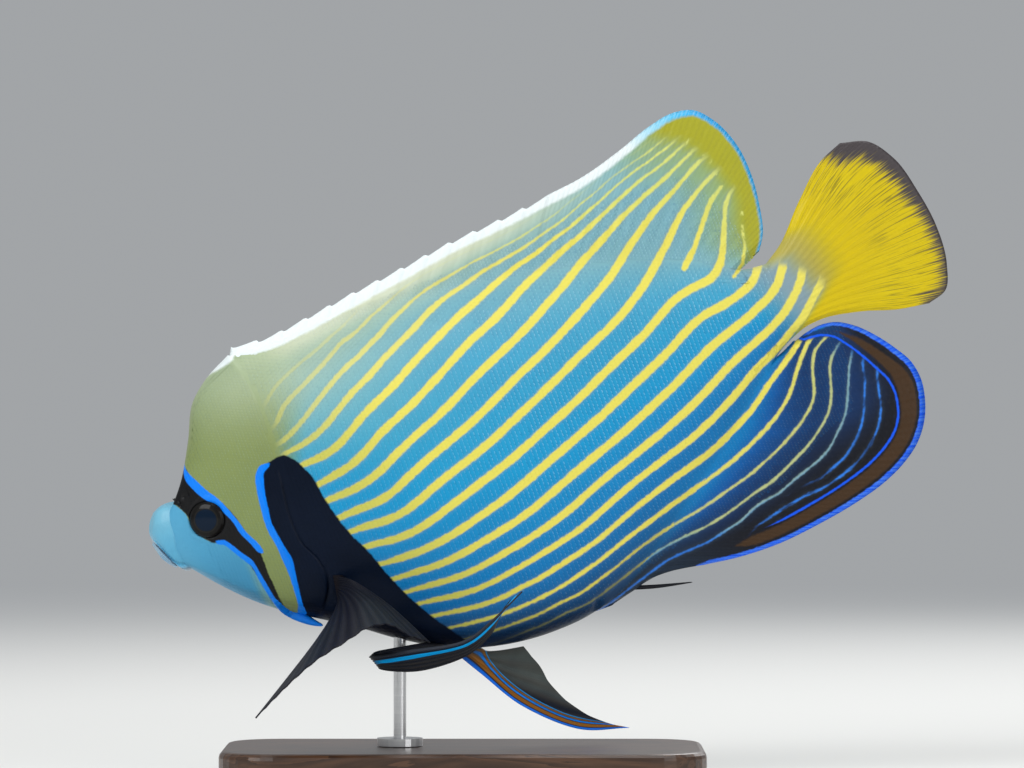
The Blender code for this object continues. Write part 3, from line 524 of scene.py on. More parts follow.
palette = {
    "belly": (10, 32, 58), "slate": (22, 38, 56), "lowFlank": (4, 88, 150), "flank": (2, 122, 186),
    "midFlank": (18, 150, 204), "highFlank": (70, 162, 198), "backBlue": (124, 174, 184),
    "nape": (168, 188, 164), "cream": (204, 212, 184), "white": (236, 244, 244), "cyan": (8, 164, 230),
    "olive": (166, 164, 40),
    "analBase": (3, 84, 156), "analMiddle": (6, 46, 94), "analOuter": (8, 11, 22), "analBlue": (4, 88, 240),
    "analBrown": (66, 42, 18), "peduncle": (132, 156, 166), "tailBase": (176, 164, 76),
    "tailYellow": (212, 186, 0), "tailGrey": (74, 68, 70), "stripe": (234, 222, 96),
    "stripeFront": (204, 200, 92), "stripeThin": (214, 220, 120), "stripePale": (176, 188, 140),
    "stripeBlue": (44, 124, 226),
    "headTop": (160, 176, 140), "headOlive": (132, 146, 88), "face": (84, 164, 202), "snout": (86, 162, 198),
    "faceLow": (60, 142, 184), "faceYellow": (176, 182, 136), "mask": (12, 12, 14), "blueBand": (6, 132, 250),
    "patch": (4, 12, 26),
}


def linear(colour):
    c = np.asarray(colour, float) / 255
    return np.where(c <= 0.04045, c / 12.92, ((c + 0.055) / 1.055) ** 2.4)


def ramp(x, stops):  # colours between named stops
    places = [p for p, _ in stops]
    colours = np.array([palette[name] for _, name in stops], float)
    return np.stack([np.interp(x, places, colours[:, k]) for k in range(3)], axis=-1)


def mixed(a, b, share):
    return a + (np.asarray(b, float) - a) * np.asarray(share)[..., None]


def tint(colours, name, share):  # moves colours towards a named one
    return mixed(colours, palette[name], share)


def plainColour(name, count):
    return np.tile(np.array(palette[name], float), (count, 1))


def between(x, pairs):
    return np.interp(x, *zip(*pairs))


def alongLine(points, line, closed=False):  # distance to a line of points and the share of the way along it
    line = np.asarray(line, float)
    if closed:
        line = np.concatenate([line, line[:1]])
    a, b = line[:-1], line[1:]
    step = b - a
    length = np.linalg.norm(step, axis=1)
    before = np.concatenate([[0], np.cumsum(length)])
    best, share = np.full(len(points), 1e9), np.zeros(len(points))
    for k in range(len(a)):
        f = np.clip(((points - a[k]) @ step[k]) / max(length[k] ** 2, 1e-9), 0, 1)
        away = np.hypot(*(points - a[k] - f[:, None] * step[k]).T)
        near = away < best
        best[near], share[near] = away[near], (before[k] + f[near] * length[k]) / before[-1]
    return best, share


def insideOutline(points, outline):
    x, y = points.T
    inside = np.zeros(len(points), bool)
    for (ax, ay), (bx, by) in zip(outline, np.roll(outline, -1, axis=0)):
        crosses = (ay > y) != (by > y)
        inside ^= crosses & (x < (bx - ax) * (y - ay) / (by - ay + 1e-12) + ax)
    return inside


def signedDistance(points, pixels):  # below zero inside
    outline = curve(fromPhoto([*pixels, pixels[0]]))(np.linspace(0, 1, 4 * len(pixels), endpoint=False))
    away, _ = alongLine(points, outline, closed=True)
    return np.where(insideOutline(points, outline), -away, away)


def stripeChart():  # a smooth sheet through the guide lines, one whole number to a stripe
    places, values = [], []
    for number, pixels in stripes.items():
        places.append(fromPhoto(pixels))
        values += [number] * len(pixels)
    places, values = np.concatenate(places), np.array(values, float)
    count = len(values)

    def kernel(a, b):
        gap = ((a[:, None, :] - b[None, :, :]) ** 2).sum(-1) / 1e4
        return gap * np.log(gap + 1e-12)

    system = np.zeros((count + 3, count + 3))
    system[:count, :count] = kernel(places, places) + stripeLook["smoothing"] * np.eye(count)
    system[:count, count:] = np.column_stack([np.ones(count), places / 100])
    system[count:, :count] = system[:count, count:].T
    weights = np.linalg.solve(system, np.concatenate([values, np.zeros(3)]))
    u, v = np.arange(0, 340.0), np.arange(-105, 90.0)
    chart = np.stack(np.meshgrid(u, v, indexing="ij"), axis=-1)
    flat = chart.reshape(-1, 2)
    phase = kernel(flat, places) @ weights[:count] + weights[count] + (flat / 100) @ weights[count + 1:]
    phase = phase.reshape(len(u), len(v))
    slopeU, slopeV = np.gradient(phase)
    pitch = 1 / np.maximum(np.hypot(slopeU, slopeV), 0.03)

    def look(table, points):
        x = np.clip(points[:, 0] - u[0], 0, len(u) - 1.001)
        y = np.clip(points[:, 1] - v[0], 0, len(v) - 1.001)
        i, j = x.astype(int), y.astype(int)
        f, g = x - i, y - j
        return (table[i, j] * (1 - f) * (1 - g) + table[i + 1, j] * f * (1 - g)
                + table[i, j + 1] * (1 - f) * g + table[i + 1, j + 1] * f * g)

    return lambda points: (look(phase, points), look(pitch, points))


def edgeLine(points, samples=160):
    return curve(points)(np.linspace(0, 1, samples))


phaseAt = stripeChart()
bellyLine, backLine = edgeLine(fish["belly"]), edgeLine(fish["back"])
dorsalLine = np.concatenate([edgeLine(fish["dorsalSpiny"], 60), edgeLine(fish["dorsalSoft"], 90)])
analLine = np.concatenate([edgeLine(fish["analSpiny"], 30), edgeLine(fish["analSoft"], 110)])
tailLine = edgeLine(fish["tailMargin"], 80)
gillLine, foreheadLine = edgeLine(fish["gillEdge"], 60), edgeLine(fish["forehead"], 60)


far = 99.0  # a distance that leaves a marking out


class Survey:  # where each point lies among the lines of the fish
    def __init__(self, points, part):
        self.points = points
        self.u, self.v = points.T
        self.low, self.high = np.interp(self.u, *bellyLine.T), np.interp(self.u, *backLine.T)
        self.s = (self.v - self.low) / (self.high - self.low)  # 0 at the belly, 1 at the back
        self.onHead, self.onFlank, self.onTail, self.onDorsal, self.onAnal = (part == k for k in range(5))
        self.onBack, self.onStalk = self.onFlank | self.onDorsal, self.onFlank | self.onTail
        self.phase, self.pitch = phaseAt(points)
        self.dorsalAway, self.dorsalShare = alongLine(points, dorsalLine)
        self.analAway, self.analShare = alongLine(points, analLine)
        self.underBand = self.dorsalAway - graph(marginBands["dorsal"])(self.dorsalShare)
        self.analLineAt = graph(marginBands["analLine"])(self.analShare)
        above = np.clip(self.v - self.high, 0, None)
        self.reach = above / (above + self.dorsalAway + 1e-6)  # up the dorsal fin
        self.behind = self.u - np.interp(self.v, gillLine[:, 1], gillLine[:, 0])  # behind the gill opening
        self.patchAway = signedDistance(points, shapes["patch"])
        self.olive = np.where(self.onTail, far, signedDistance(points, shapes["olive"]))


def stripeFields(at):  # how wide the stripes are, and how much of them shows
    u, v, s, phase = at.u, at.v, at.s, at.phase
    half = between(phase, stripeLook["half"])
    half *= 0.72 + 0.28 * smooth(at.patchAway, -1, 10)
    half *= 1 - 0.3 * (1 - smooth(s, 0.1, 0.5)) * (1 - smooth(u, 130, 230))
    half *= 1 - between(phase, stripeLook["onAnalFin"]) * at.onAnal
    half *= 1 - 0.62 * smooth(at.reach, 0, 0.9) * ~at.onAnal
    half *= 1 - (1 - between(phase, stripeLook["nearBack"])) * smooth(v - at.high, -9, 3)

    show = smooth(at.behind, 0.5, 6) * ~at.onHead
    show *= between(phase, stripeLook["shown"])
    show *= smooth(at.olive, -2.5, 3.5)
    show *= 1 - 0.9 * (1 - smooth(at.underBand, 0.5, 6.0)) * at.onBack * (phase < 3)
    stripesEnd = np.interp(v, [-12, -1, 7, 10], [284, 281, 273, 267])
    show *= 1 - at.onTail * np.maximum(smooth(u - stripesEnd, -3, 3), smooth(phase, 10.4, 10.6))
    show *= 1 - at.onAnal * smooth(u, 274, 284) * smooth(v, -40, -26)
    show *= 1 - (np.abs(phase - 16) < 0.5) * (1 - smooth(u, 246, 256))
    show *= 1 - (phase > 16.5) * (1 - smooth(u, 218, 230))
    show *= np.where((phase > 15.4) & (np.sin((v - 0.8 * u) / 1.1) < -0.5), 0.15, 1)  # short breaks
    inside = smooth(at.analAway - at.analLineAt, 0.2, 1.4)
    show *= np.where(at.onAnal, np.maximum(inside, 0.8 * (1 - smooth(u, 205, 235))), 1)
    show *= np.where(at.onAnal, smooth(phase, 0, 1) * (1 - smooth(phase, 17.4, 17.8)), 1)
    show *= 1 - at.onFlank * (1 - smooth(s, -0.01, 0.05)) * (1 - smooth(u, 120, 170))

    short = np.full(len(u), far)
    for pixels, width in shortStripes:
        away, share = alongLine(at.points, fromPhoto(pixels))
        short = np.minimum(short, away - width * (1 - 0.45 * share))
    return {"phase": phase, "pitch": at.pitch, "half": half, "show": show,
            "short": np.where(at.onBack, short, far)}


def stripeColour(at):
    u, phase = at.u, at.phase
    stripe = tint(plainColour("stripe", len(u)), "stripeFront", 1 - smooth(at.patchAway, 4, 45))
    stripe = tint(stripe, "stripeThin", smooth(at.reach, 0.25, 0.8))
    pale = np.maximum(smooth(phase, 12.0, 14.6) * smooth(u - 0.6 * at.v, 205, 245), smooth(phase, 13.0, 15.0))
    stripe = tint(stripe, "stripePale", np.maximum(pale, 0.6 * at.onAnal * smooth(phase, 11.6, 12.6)))
    blue = np.maximum(smooth(phase, 14.4, 15.8), smooth(u, 284, 293) * at.onAnal)
    blue = np.maximum(blue, at.onAnal * (1 - smooth(at.analAway, 8, 16)) * smooth(phase, 13.5, 14.5))
    stripe = tint(stripe, "stripeBlue", blue)
    lowest = (1 - smooth(at.s, 0.0, 0.09)) * at.onFlank * (1 - smooth(u, 150, 200))
    return tint(stripe, "analOuter", 0.55 * lowest)


def groundColour(at, fin):  # the colour between the stripes
    u, v, s = at.u, at.v, at.s
    ground = ramp(s, [(-0.05, "belly"), (0.05, "lowFlank"), (0.2, "flank"), (0.45, "midFlank"),
                      (0.8, "highFlank"), (1.0, "backBlue")])
    ground = tint(ground, "flank", (1 - smooth(s, 0.0, 0.25)) * smooth(u, 150, 215))
    ground = tint(ground, "belly", (1 - smooth(s, -0.02, 0.14)) * (1 - smooth(u, 120, 205)))
    ground = tint(ground, "nape", smooth(s, 0.5, 1.0) * (1 - smooth(u, 55, 150)))
    wide, narrow = (at.onBack * (1 - smooth(at.underBand, *reach)) for reach in ((2.0, 18.0), (0.0, 8.0)))
    ground = tint(ground, "nape", 0.8 * wide * (1 - smooth(u, 130, 250)))
    ground = tint(ground, "cream", narrow * (1 - smooth(u, 150, 230)))
    nearOlive = (1 - smooth(at.olive, 0, 26)) * smooth(v - at.high, -3, 12)
    ground = tint(ground, "olive", 0.5 * at.onBack * nearOlive)
    ground = tint(ground, "olive", 1 - smooth(at.olive, -3.5, 5.0))
    ground = tint(ground, "peduncle", smooth(u + 0.4 * v, 246, 270) * at.onStalk)
    stalkTop = smooth(v, 7, 14) * smooth(u, 254, 268)
    ground = tint(ground, "tailBase", np.maximum(smooth(u + 0.4 * v, 270, 284), stalkTop) * at.onStalk)
    fromBase = np.where(at.onTail, 0 if fin is None else fin[:, 0], 0)
    edgeFirst = smooth(np.abs(v - 0.3 * (u - 263) - 2), 10, 22)  # the yellow starts at the edges of the tail
    ground = tint(ground, "tailYellow", at.onTail * smooth(fromBase + 0.3 * edgeFirst, 0.2, 0.46))
    under = at.low - v
    down = np.clip(under / (np.clip(under, 0, None) + at.analAway + 1e-6), 0, 1)  # down the anal fin
    anal = ramp(down, [(0.25, "analBase"), (0.5, "analMiddle"), (0.76, "analOuter")])
    anal = tint(anal, "analMiddle", smooth(u, 256, 280) * 0.8 * (1 - smooth(down, 0.4, 0.7)))
    anal = tint(anal, "slate", 1 - smooth(u - 25 * down, 160, 205))
    ground = np.where(at.onAnal[:, None], mixed(ground, anal, smooth(down, 0.02, 0.3)), ground)
    head = tint(plainColour("headOlive", len(u)), "headTop", smooth(v + 0.3 * u, 24, 62))
    headShare = np.where(at.onBack, 1 - smooth(at.behind, 0, 11 + 0.45 * np.clip(v, 0, None)), 0)
    return mixed(ground, head, np.where(at.onHead, 1.0, headShare))


def marginFields(at):  # the bands along the fins, and the crown
    u, fields = at.u, {}
    fields["bandColour"] = linear(ramp(at.dorsalShare, [(0.64, "white"), (0.76, "cyan")]))
    foreheadAway, foreheadShare = alongLine(at.points, foreheadLine)
    crown = foreheadAway - 4.6 * smooth(foreheadShare, 0.7, 1) + 1.8
    crown = np.where(at.onHead | (at.onFlank & (u < 60)), crown, far)
    fields["band"] = np.where(at.onDorsal, at.underBand, crown)
    blueStart = smooth(u, 192, 202)
    blueEdge = graph(marginBands["analBlue"])(at.analShare) * blueStart - 0.6 * (1 - blueStart)
    brownHalf = (at.analLineAt - blueEdge) / 2 - 1.2 + 4 * (smooth(u, 203, 222) - 1)
    brownHalf += 1.2 * (smooth(at.analShare, -0.02, 0.3) - 1) - 1.2 * smooth(at.analShare, 0.72, 0.84)
    brownAway = np.abs(at.analAway - (blueEdge + at.analLineAt) / 2) - brownHalf
    fields["analBlue"] = np.where(at.onAnal, at.analAway - blueEdge, far)
    fields["analBrown"] = np.where(at.onAnal, brownAway, far)
    fields["analSide"] = np.where(at.onAnal, at.analAway - at.analLineAt, far)
    fields["analThin"] = 1.2 * (1 - smooth(u, 218, 236)) - 0.42
    tailAway, tailShare = alongLine(at.points, tailLine)
    fields["tailGrey"] = np.where(at.onTail, tailAway - graph(marginBands["tailGrey"])(tailShare), far)
    return fields


def faceFields(at):  # the face, the mask and the dark patch behind the gill cover
    u, v, fields = at.u, at.v, {}
    fields["face"] = np.where(at.onHead, signedDistance(at.points, shapes["face"]), far)
    nostrils = [np.hypot(u - x, v - z) - radius for x, z, radius in fish["nostrils"]]
    dark = np.minimum.reduce([signedDistance(at.points, shapes["mask"]), *nostrils])
    fields["mask"] = np.where(at.onHead, dark, far)
    fields["patch"] = at.patchAway
    bands = [signedDistance(at.points, shapes[name]) for name in ("upperBand", "lowerBand", "secondBand")]
    fields["bands"] = np.minimum.reduce(bands) + np.where(at.onHead, 0, smooth(u, 50, 70) * 20)
    yellow = (1 - smooth(np.abs(bands[1] - 1.2), 0.3, 3.0)) * smooth(u, 29, 35) * (1 - smooth(u, 44, 50))
    face = tint(ramp(-v, [(5, "face"), (45, "faceLow")]), "faceYellow", 0.5 * yellow)
    fields["faceColour"] = linear(tint(face, "snout", 1 - smooth(u + 0.2 * v, 3, 14)))
    return fields


def paint(mesh, points, part, fin=None):  # stores the markings of every point as colours and distances
    at = Survey(points, part)
    fields = {**stripeFields(at), **marginFields(at), **faceFields(at)}
    fields["groundColour"], fields["stripeColour"] = linear(groundColour(at, fin)), linear(stripeColour(at))
    # painted light: how lit each place is taken to be, dimming the stripe halos and the scales' painted edge
    # highlights towards the belly and on the anal fin
    fields["lit"] = (0.35 + 0.65 * smooth(at.s, 0.1, 0.6)) * np.where(at.onAnal, 0.5, 1)
    fields["finReach"], fields["finRay"] = (at.u * 0, at.u * 0) if fin is None else fin.T
    for name, values in fields.items():
        store(mesh, name, values, "FLOAT_COLOR" if values.ndim == 2 else "FLOAT")


# materials


class Wire:  # a value in a node tree that sums can be written with
    def __init__(self, tree, socket):
        self.tree, self.socket = tree, socket

    def __add__(self, other):
        return calc(self.tree, "ADD", self, other)

    def __sub__(self, other):
        return calc(self.tree, "SUBTRACT", self, other)

    def __rsub__(self, other):
        return calc(self.tree, "SUBTRACT", other, self)

    def __mul__(self, other):
        return calc(self.tree, "MULTIPLY", self, other)

    def __abs__(self):
        return calc(self.tree, "ABSOLUTE", self)


def feed(tree, socket, value):
    if isinstance(value, Wire):
        tree.links.new(value.socket, socket)
    elif isinstance(value, bpy.types.NodeSocket):
        tree.links.new(value, socket)
    elif isinstance(value, tuple) and len(value) == 3 and socket.type == "RGBA":
        socket.default_value = (*value, 1)
    else:
        socket.default_value = value


def addNode(tree, kind, output, inputs, **settings):
    made = tree.nodes.new(kind)
    for label, value in settings.items():
        setattr(made, label, value)
    for label, value in inputs.items():
        feed(tree, made.inputs[label], value)
    return Wire(tree, made.outputs[output])


def calc(tree, operation, a, b=0.0, clamp=False):
    return addNode(tree, "ShaderNodeMath", 0, {0: a, 1: b}, operation=operation, use_clamp=clamp)


def combine(tree, x, y, z=0.0):
    return addNode(tree, "ShaderNodeCombineXYZ", 0, {0: x, 1: y, 2: z})


class Finish:  # a material, with short words for the nodes in it
    def __init__(self, name, roughness, metallic=0.0, coat=0.0, coatRoughness=0.1, specular=0.3):
        self.material = bpy.data.materials.new(name)
        self.material.use_nodes = True
        self.tree = self.material.node_tree
        self.shader = self.tree.nodes["Principled BSDF"]
        for label, value in (("Roughness", roughness), ("Metallic", metallic), ("Coat Weight", coat),
                             ("Coat Roughness", coatRoughness), ("Specular IOR Level", specular)):
            self.shader.inputs[label].default_value = value

    def set(self, label, value):
        feed(self.tree, self.shader.inputs[label], value)

    def node(self, kind, output, inputs, **settings):
        return addNode(self.tree, "ShaderNode" + kind, output, inputs, **settings)

    def read(self, name):  # a number stored on the mesh
        return self.node("Attribute", "Fac", {}, attribute_name=name)

    def readColour(self, name):
        return self.node("Attribute", "Color", {}, attribute_name=name)

    def place(self):
        return self.node("TexCoord", "Object", {})

    def noise(self, scale, detail=2.0, vector=None):
        given = {"Scale": scale, "Detail": detail, "Vector": vector or self.place()}
        return self.node("TexNoise", "Fac", given)

    def mix(self, share, a, b, mode="MIX"):
        return self.node("Mix", 2, {0: share, 6: a, 7: b}, data_type="RGBA", blend_type=mode)

    def within(self, distance, soft, wobble=0.0):  # 1 where the distance is below zero
        given = {"Value": distance + wobble, "From Min": soft, "From Max": -soft}
        return self.node("MapRange", "Result", given, interpolation_type="SMOOTHSTEP")

    def bump(self, height, strength, distance):
        given = {"Strength": strength, "Distance": distance, "Height": height}
        self.set("Normal", self.node("Bump", 0, given))


skinLook = {
    "stripeSoft": 0.42, "edgeSoft": 0.35, "wobble": 0.7, "fineWobble": 0.7, "roughness": 0.45, "coat": 0.06,
    "specular": 0.2, "patchSpecular": 0.06, "haloWidth": 0.7, "haloSoft": 0.9, "halo": 0.3,
    # the scales' painted highlight on the free edge, and painted shade towards the root
    "edgeHighlightStrength": 0.45, "edgeHighlightColour": (0.42, 0.68, 0.80), "rootShadeStrength": 0.5, "rootShadeColour": (0.0, 0.10, 0.30),
    "streakColour": (0.10, 0.09, 0.02), "brownDark": (0.05, 0.026, 0.010), "blueLight": (0.20, 0.50, 0.92),
    "bandLight": (0.75, 0.9, 0.95), "patchDark": (0.004, 0.010, 0.028), "bump": (0.35, 0.0004),
}


def colourOf(name):
    return tuple(float(c) for c in linear(palette[name]))


def fishMaterial(name, scaled):
    look = skinLook
    f = Finish(name, look["roughness"], coat=look["coat"], coatRoughness=0.2, specular=look["specular"])
    fine = (f.noise(620, 1) - 0.5) * look["fineWobble"]
    wander = (f.noise(160) - 0.5) * look["wobble"] + fine
    cloud = f.noise(45, 3)
    ground = f.readColour("groundColour")
    brighter = f.mix(calc(f.tree, "SUBTRACT", cloud, 0.35, clamp=True), ground, (1.0, 1.0, 1.0), "OVERLAY")
    ground = f.mix(0.2, ground, brighter)
    lit = f.read("lit")
    if scaled:  # painted shade darkens each scale towards its root, where it slips under the scale before it, and a painted highlight lightens its free edge, dimmed where the flank is less lit
        tip, shade = f.read("tip"), f.read("shade")
        rootShading = calc(f.tree, "SUBTRACT", 0.8, tip, clamp=True) * look["rootShadeStrength"]
        ground = f.mix(shade * rootShading, ground, f.mix(0.7, ground, look["rootShadeColour"]))
        free = f.within(0.86 - tip, 0.12) * (shade * look["edgeHighlightStrength"]) * lit
        ground = f.mix(free, ground, look["edgeHighlightColour"])

    # stripes, each with a pale halo, dimmed by painted shade towards the belly and on the anal fin
    turn = calc(f.tree, "FRACT", f.read("phase") + 0.5) - 0.5
    away = abs(turn) * f.read("pitch") - f.read("half")
    show = f.read("show")
    stripe = f.within(away, look["stripeSoft"], wander) * show
    halo = f.within(away - look["haloWidth"], look["haloSoft"], wander) * show * (lit * look["halo"])
    short = f.within(f.read("short"), look["stripeSoft"], wander)
    colour = f.mix(halo, ground, colourOf("peduncle"))
    colour = f.mix(calc(f.tree, "MAXIMUM", stripe, short), colour, f.readColour("stripeColour"))

    # the tail's dark streaks and grey margin
    reach, ray, grey = f.read("finReach"), f.read("finRay"), f.read("tailGrey")
    streaks = f.noise(1.0, 2, combine(f.tree, reach * 4.0, ray * 9.0))
    darkStreak = f.within(streaks - 0.43, 0.05) * f.within(grey - 20.0, 14.0)
    colour = f.mix(darkStreak * 0.6, colour, look["streakColour"])
    colour = f.mix(f.within(grey + (streaks - 0.5) * 16.0, 3.2), colour, colourOf("tailGrey"))

    # the bands of the anal and dorsal fins, the head and the patch
    soft = look["edgeSoft"]
    brown = f.mix(streaks, colourOf("analBrown"), look["brownDark"])
    colour = f.mix(f.within(f.read("analBrown"), 0.6, fine), colour, brown)
    line = abs(f.read("analSide")) + f.read("analThin")
    colour = f.mix(f.within(line, 0.3, fine * 0.6), colour, colourOf("analBlue"))
    striae = f.within(0.5 - streaks, 0.12)
    blueEdge = f.mix(striae * 0.28, colourOf("analBlue"), look["blueLight"])
    colour = f.mix(f.within(f.read("analBlue"), soft, fine), colour, blueEdge)
    band = f.mix(striae * 0.18, f.readColour("bandColour"), look["bandLight"])
    colour = f.mix(f.within(f.read("band"), 0.8, wander), colour, band)
    colour = f.mix(f.within(f.read("face"), 0.3), colour, f.readColour("faceColour"))
    colour = f.mix(f.within(f.read("mask"), soft, fine), colour, colourOf("mask"))
    onPatch = f.within(f.read("patch"), 0.45, wander)
    colour = f.mix(onPatch, colour, f.mix(cloud, colourOf("patch"), look["patchDark"]))
    f.set("Specular IOR Level", look["specular"] - onPatch * (look["specular"] - look["patchSpecular"]))
    colour = f.mix(f.within(f.read("bands"), 0.3, fine * 0.5), colour, colourOf("blueBand"))
    f.set("Base Color", colour)
    cells = f.node("TexVoronoi", "Distance", {"Scale": 620, "Vector": f.place()})
    rays = calc(f.tree, "SINE", ray * (6 * math.pi)) * (reach * 0.5)
    f.bump(f.noise(900, 3) * 0.3 + cells * (0.0 if scaled else 0.7) + rays, *look["bump"])
    return f.material


print("markings and curves ready")
skin, skinPoints, skinPart, skinFin, eyeOut = buildSkin()
paint(skin.data, skinPoints[:, [0, 2]], skinPart, skinFin)
skin.data.materials.append(fishMaterial("living_skin", False))
print("skin built:", len(skin.data.vertices), "points", len(skin.data.polygons), "faces")

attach(skin, "root")
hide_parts("head", "torso", "tail_stalk", "caudal_fin", "dorsal_fin_front", "dorsal_fin_rear",
            "anal_fin_front", "anal_fin_rear")

# scales

coatLook = {
    "flank": {"along": 1.7, "across": 1.5, "size": 1.0},
    "small": {"along": 1.3, "across": 1.15, "size": 0.76},
    "length": 2.6, "width": 1.95, "thickness": 0.34, "rise": math.radians(4.5), "lift": 0.05, "jitter": 0.1,
    "seed": 7, "luck": (0.25, 1.25), "slant": 0.6,
    "upDorsal": [(60, 0.3), (150, 0.4), (210, 0.66), (262, 0.6)],  # how far up the fin they reach
    "downAnal": [(160, 0.3), (200, 0.45), (240, 0.62), (290, 0.5)],
    "plate": [(-0.5, -0.3), (-0.12, -0.5), (0.24, -0.44), (0.45, -0.2)],  # half the outline of one scale
    "crown": (0.05, 0.0, 0.26), "keel": (0.0, 0.0, -0.5),
    "map": {"corner": (-5, -105), "span": 345, "patch": 0.003},  # each scale has its own place on it
}


def buildPlate():  # one scale, a shallow closed lens with its root at -0.5 and its free edge at 0.5
    outline = coatLook["plate"] + [(x, -y) for x, y in coatLook["plate"][::-1]]
    sides = len(outline)
    points = [(x, y, 0.0) for x, y in outline] + [coatLook["crown"], coatLook["keel"]]
    faces = []
    for k in range(sides):
        faces += [(k, (k + 1) % sides, sides), ((k + 1) % sides, k, sides + 1)]
    mesh = newMesh("scale_plate", points, faces)
    store(mesh, "plate", points, "FLOAT_VECTOR")
    mesh.shade_smooth()
    mesh.set_sharp_from_angle(angle=math.radians(60))
    return newObject("scale_plate", mesh)


def scaleTree():
    tree = bpy.data.node_groups.new("scale_coat", "GeometryNodeTree")
    for label, kind in (("Geometry", "Geometry"), ("Plate", "Object"), ("Finish", "Material"),
                        ("Length", "Float"), ("Width", "Float"), ("Thickness", "Float"), ("Jitter", "Float"),
                        ("Seed", "Int")):
        tree.interface.new_socket(label, in_out="INPUT", socket_type="NodeSocket" + kind)
    tree.interface.new_socket("Geometry", in_out="OUTPUT", socket_type="NodeSocketGeometry")
    start, end = tree.nodes.new("NodeGroupInput"), tree.nodes.new("NodeGroupOutput")
    given = {socket.name: Wire(tree, socket) for socket in start.outputs if socket.name}

    def named(name, kind):
        return addNode(tree, "GeometryNodeInputNamedAttribute", "Attribute", {"Name": name}, data_type=kind)

    plate = addNode(tree, "GeometryNodeObjectInfo", "Geometry", {"Object": given["Plate"]})
    turn = addNode(tree, "FunctionNodeEulerToRotation", 0, {"Euler": named("turn", "FLOAT_VECTOR")})
    chance = tree.nodes.new("FunctionNodeRandomValue")
    chance.data_type = "FLOAT"
    lowest, highest = [socket for socket in chance.inputs if socket.type == "VALUE"][:2]
    feed(tree, lowest, 1.0 - given["Jitter"])
    feed(tree, highest, given["Jitter"] + 1.0)
    feed(tree, chance.inputs["Seed"], given["Seed"])
    drawn = [socket for socket in chance.outputs if socket.type == "VALUE"][0]
    size = named("size", "FLOAT") * drawn
    scale = combine(tree, *(size * given[label] for label in ("Length", "Width", "Thickness")))
    placed = addNode(tree, "GeometryNodeInstanceOnPoints", 0,
                     {"Points": given["Geometry"], "Instance": plate, "Rotation": turn, "Scale": scale})
    real = addNode(tree, "GeometryNodeRealizeInstances", 0, {0: placed})
    finished = addNode(tree, "GeometryNodeSetMaterial", 0, {"Geometry": real, "Material": given["Finish"]})
    feed(tree, end.inputs[0], finished)
    return tree


def lattice(low, high, spacing):
    u = np.arange(low[0], high[0], spacing["along"])
    v = np.arange(low[1], high[1], spacing["across"])
    grid = np.stack(np.meshgrid(u, v, indexing="ij"), axis=-1)
    grid[1::2, :, 1] += spacing["across"] / 2
    return grid.reshape(-1, 2)


def flankPlaces():  # (u, v, region) of each scale on one side, for the flank and for the smaller scales
    gill = edgeLine(fish["gillEdge"])
    at = lattice((48, -100), (266, 56), coatLook["flank"])
    u, v = at.T
    low, high = np.interp(u, *bellyLine.T), np.interp(u, *backLine.T)
    behind = u - np.interp(v, gill[:, 1], gill[:, 0])
    keep = (behind > 1.6) & (v > low + 1.2) & (v < high - 0.8) & (u < 264)
    rootAway, _ = alongLine(at, curve(fins["root"])(np.linspace(0, 1, 8)))
    keep &= rootAway > 2.6
    flank = np.column_stack([at[keep], np.ones(keep.sum())])

    at = lattice((12, -98), (292, 84), coatLook["small"])
    u, v = at.T
    low, high = np.interp(u, *bellyLine.T), np.interp(u, *backLine.T)
    outline = np.concatenate([edgeLine(fish["chin"]), gill[1:], edgeLine(fish["forehead"])[::-1],
                              edgeLine(fish["snoutEdge"])[::-1]])
    away, _ = alongLine(at, outline, closed=True)
    eye = np.hypot(u - fish["eyeAt"][0], v - fish["eyeAt"][1])
    onHead = insideOutline(at, outline) & (away > 1.1) & (eye > fish["eyeRadius"] + 1.6)
    onHead &= u > 17 + 0.1 * np.abs(v + 6)
    dorsalAway, _ = alongLine(at, dorsalLine)
    reach = (v - high) / np.maximum(v - high + dorsalAway, 0.1)
    dorsal = insideOutline(at, np.concatenate([backLine, dorsalLine[::-1]])) & (v > high - 0.6)
    dorsal &= (u > 56) & (u < 262) & (dorsalAway > 2.5) & (reach < between(u, coatLook["upDorsal"]))
    analAway, _ = alongLine(at, analLine)
    depth = (low - v) / np.maximum(low - v + analAway, 0.1)
    anal = insideOutline(at, np.concatenate([bellyLine, analLine[::-1]])) & (v < low + 0.6) & (u > 160)
    anal &= (analAway > 2.5) & (depth < between(u, coatLook["downAnal"]))
    region = np.select([onHead, dorsal, anal], [0, 3, 4], -1)
    small = np.column_stack([at, region])[region >= 0]
    return flank, small


def lineSlope(line, u):
    return np.gradient(line[:, 1], line[:, 0])[np.searchsorted(line[:, 0], u).clip(0, len(line) - 1)]


def dropOnSkin(places, side, ground):  # finds the skin under each place, looking from the side
    outside = toWorld(np.column_stack([places[:, 0], places[:, 0] * 0 + side * 200, places[:, 1]]))
    hits, normals, kept = [], [], []
    for k, start in enumerate(outside):
        hit, normal, _, _ = ground.ray_cast(Vector(start), Vector((0, -side, 0)))
        if hit is not None and abs(normal.y) > 0.3:
            hits.append(hit)
            normals.append(normal if normal.y * side > 0 else -normal)
            kept.append(k)
    return np.array(hits), np.array(normals), places[kept]


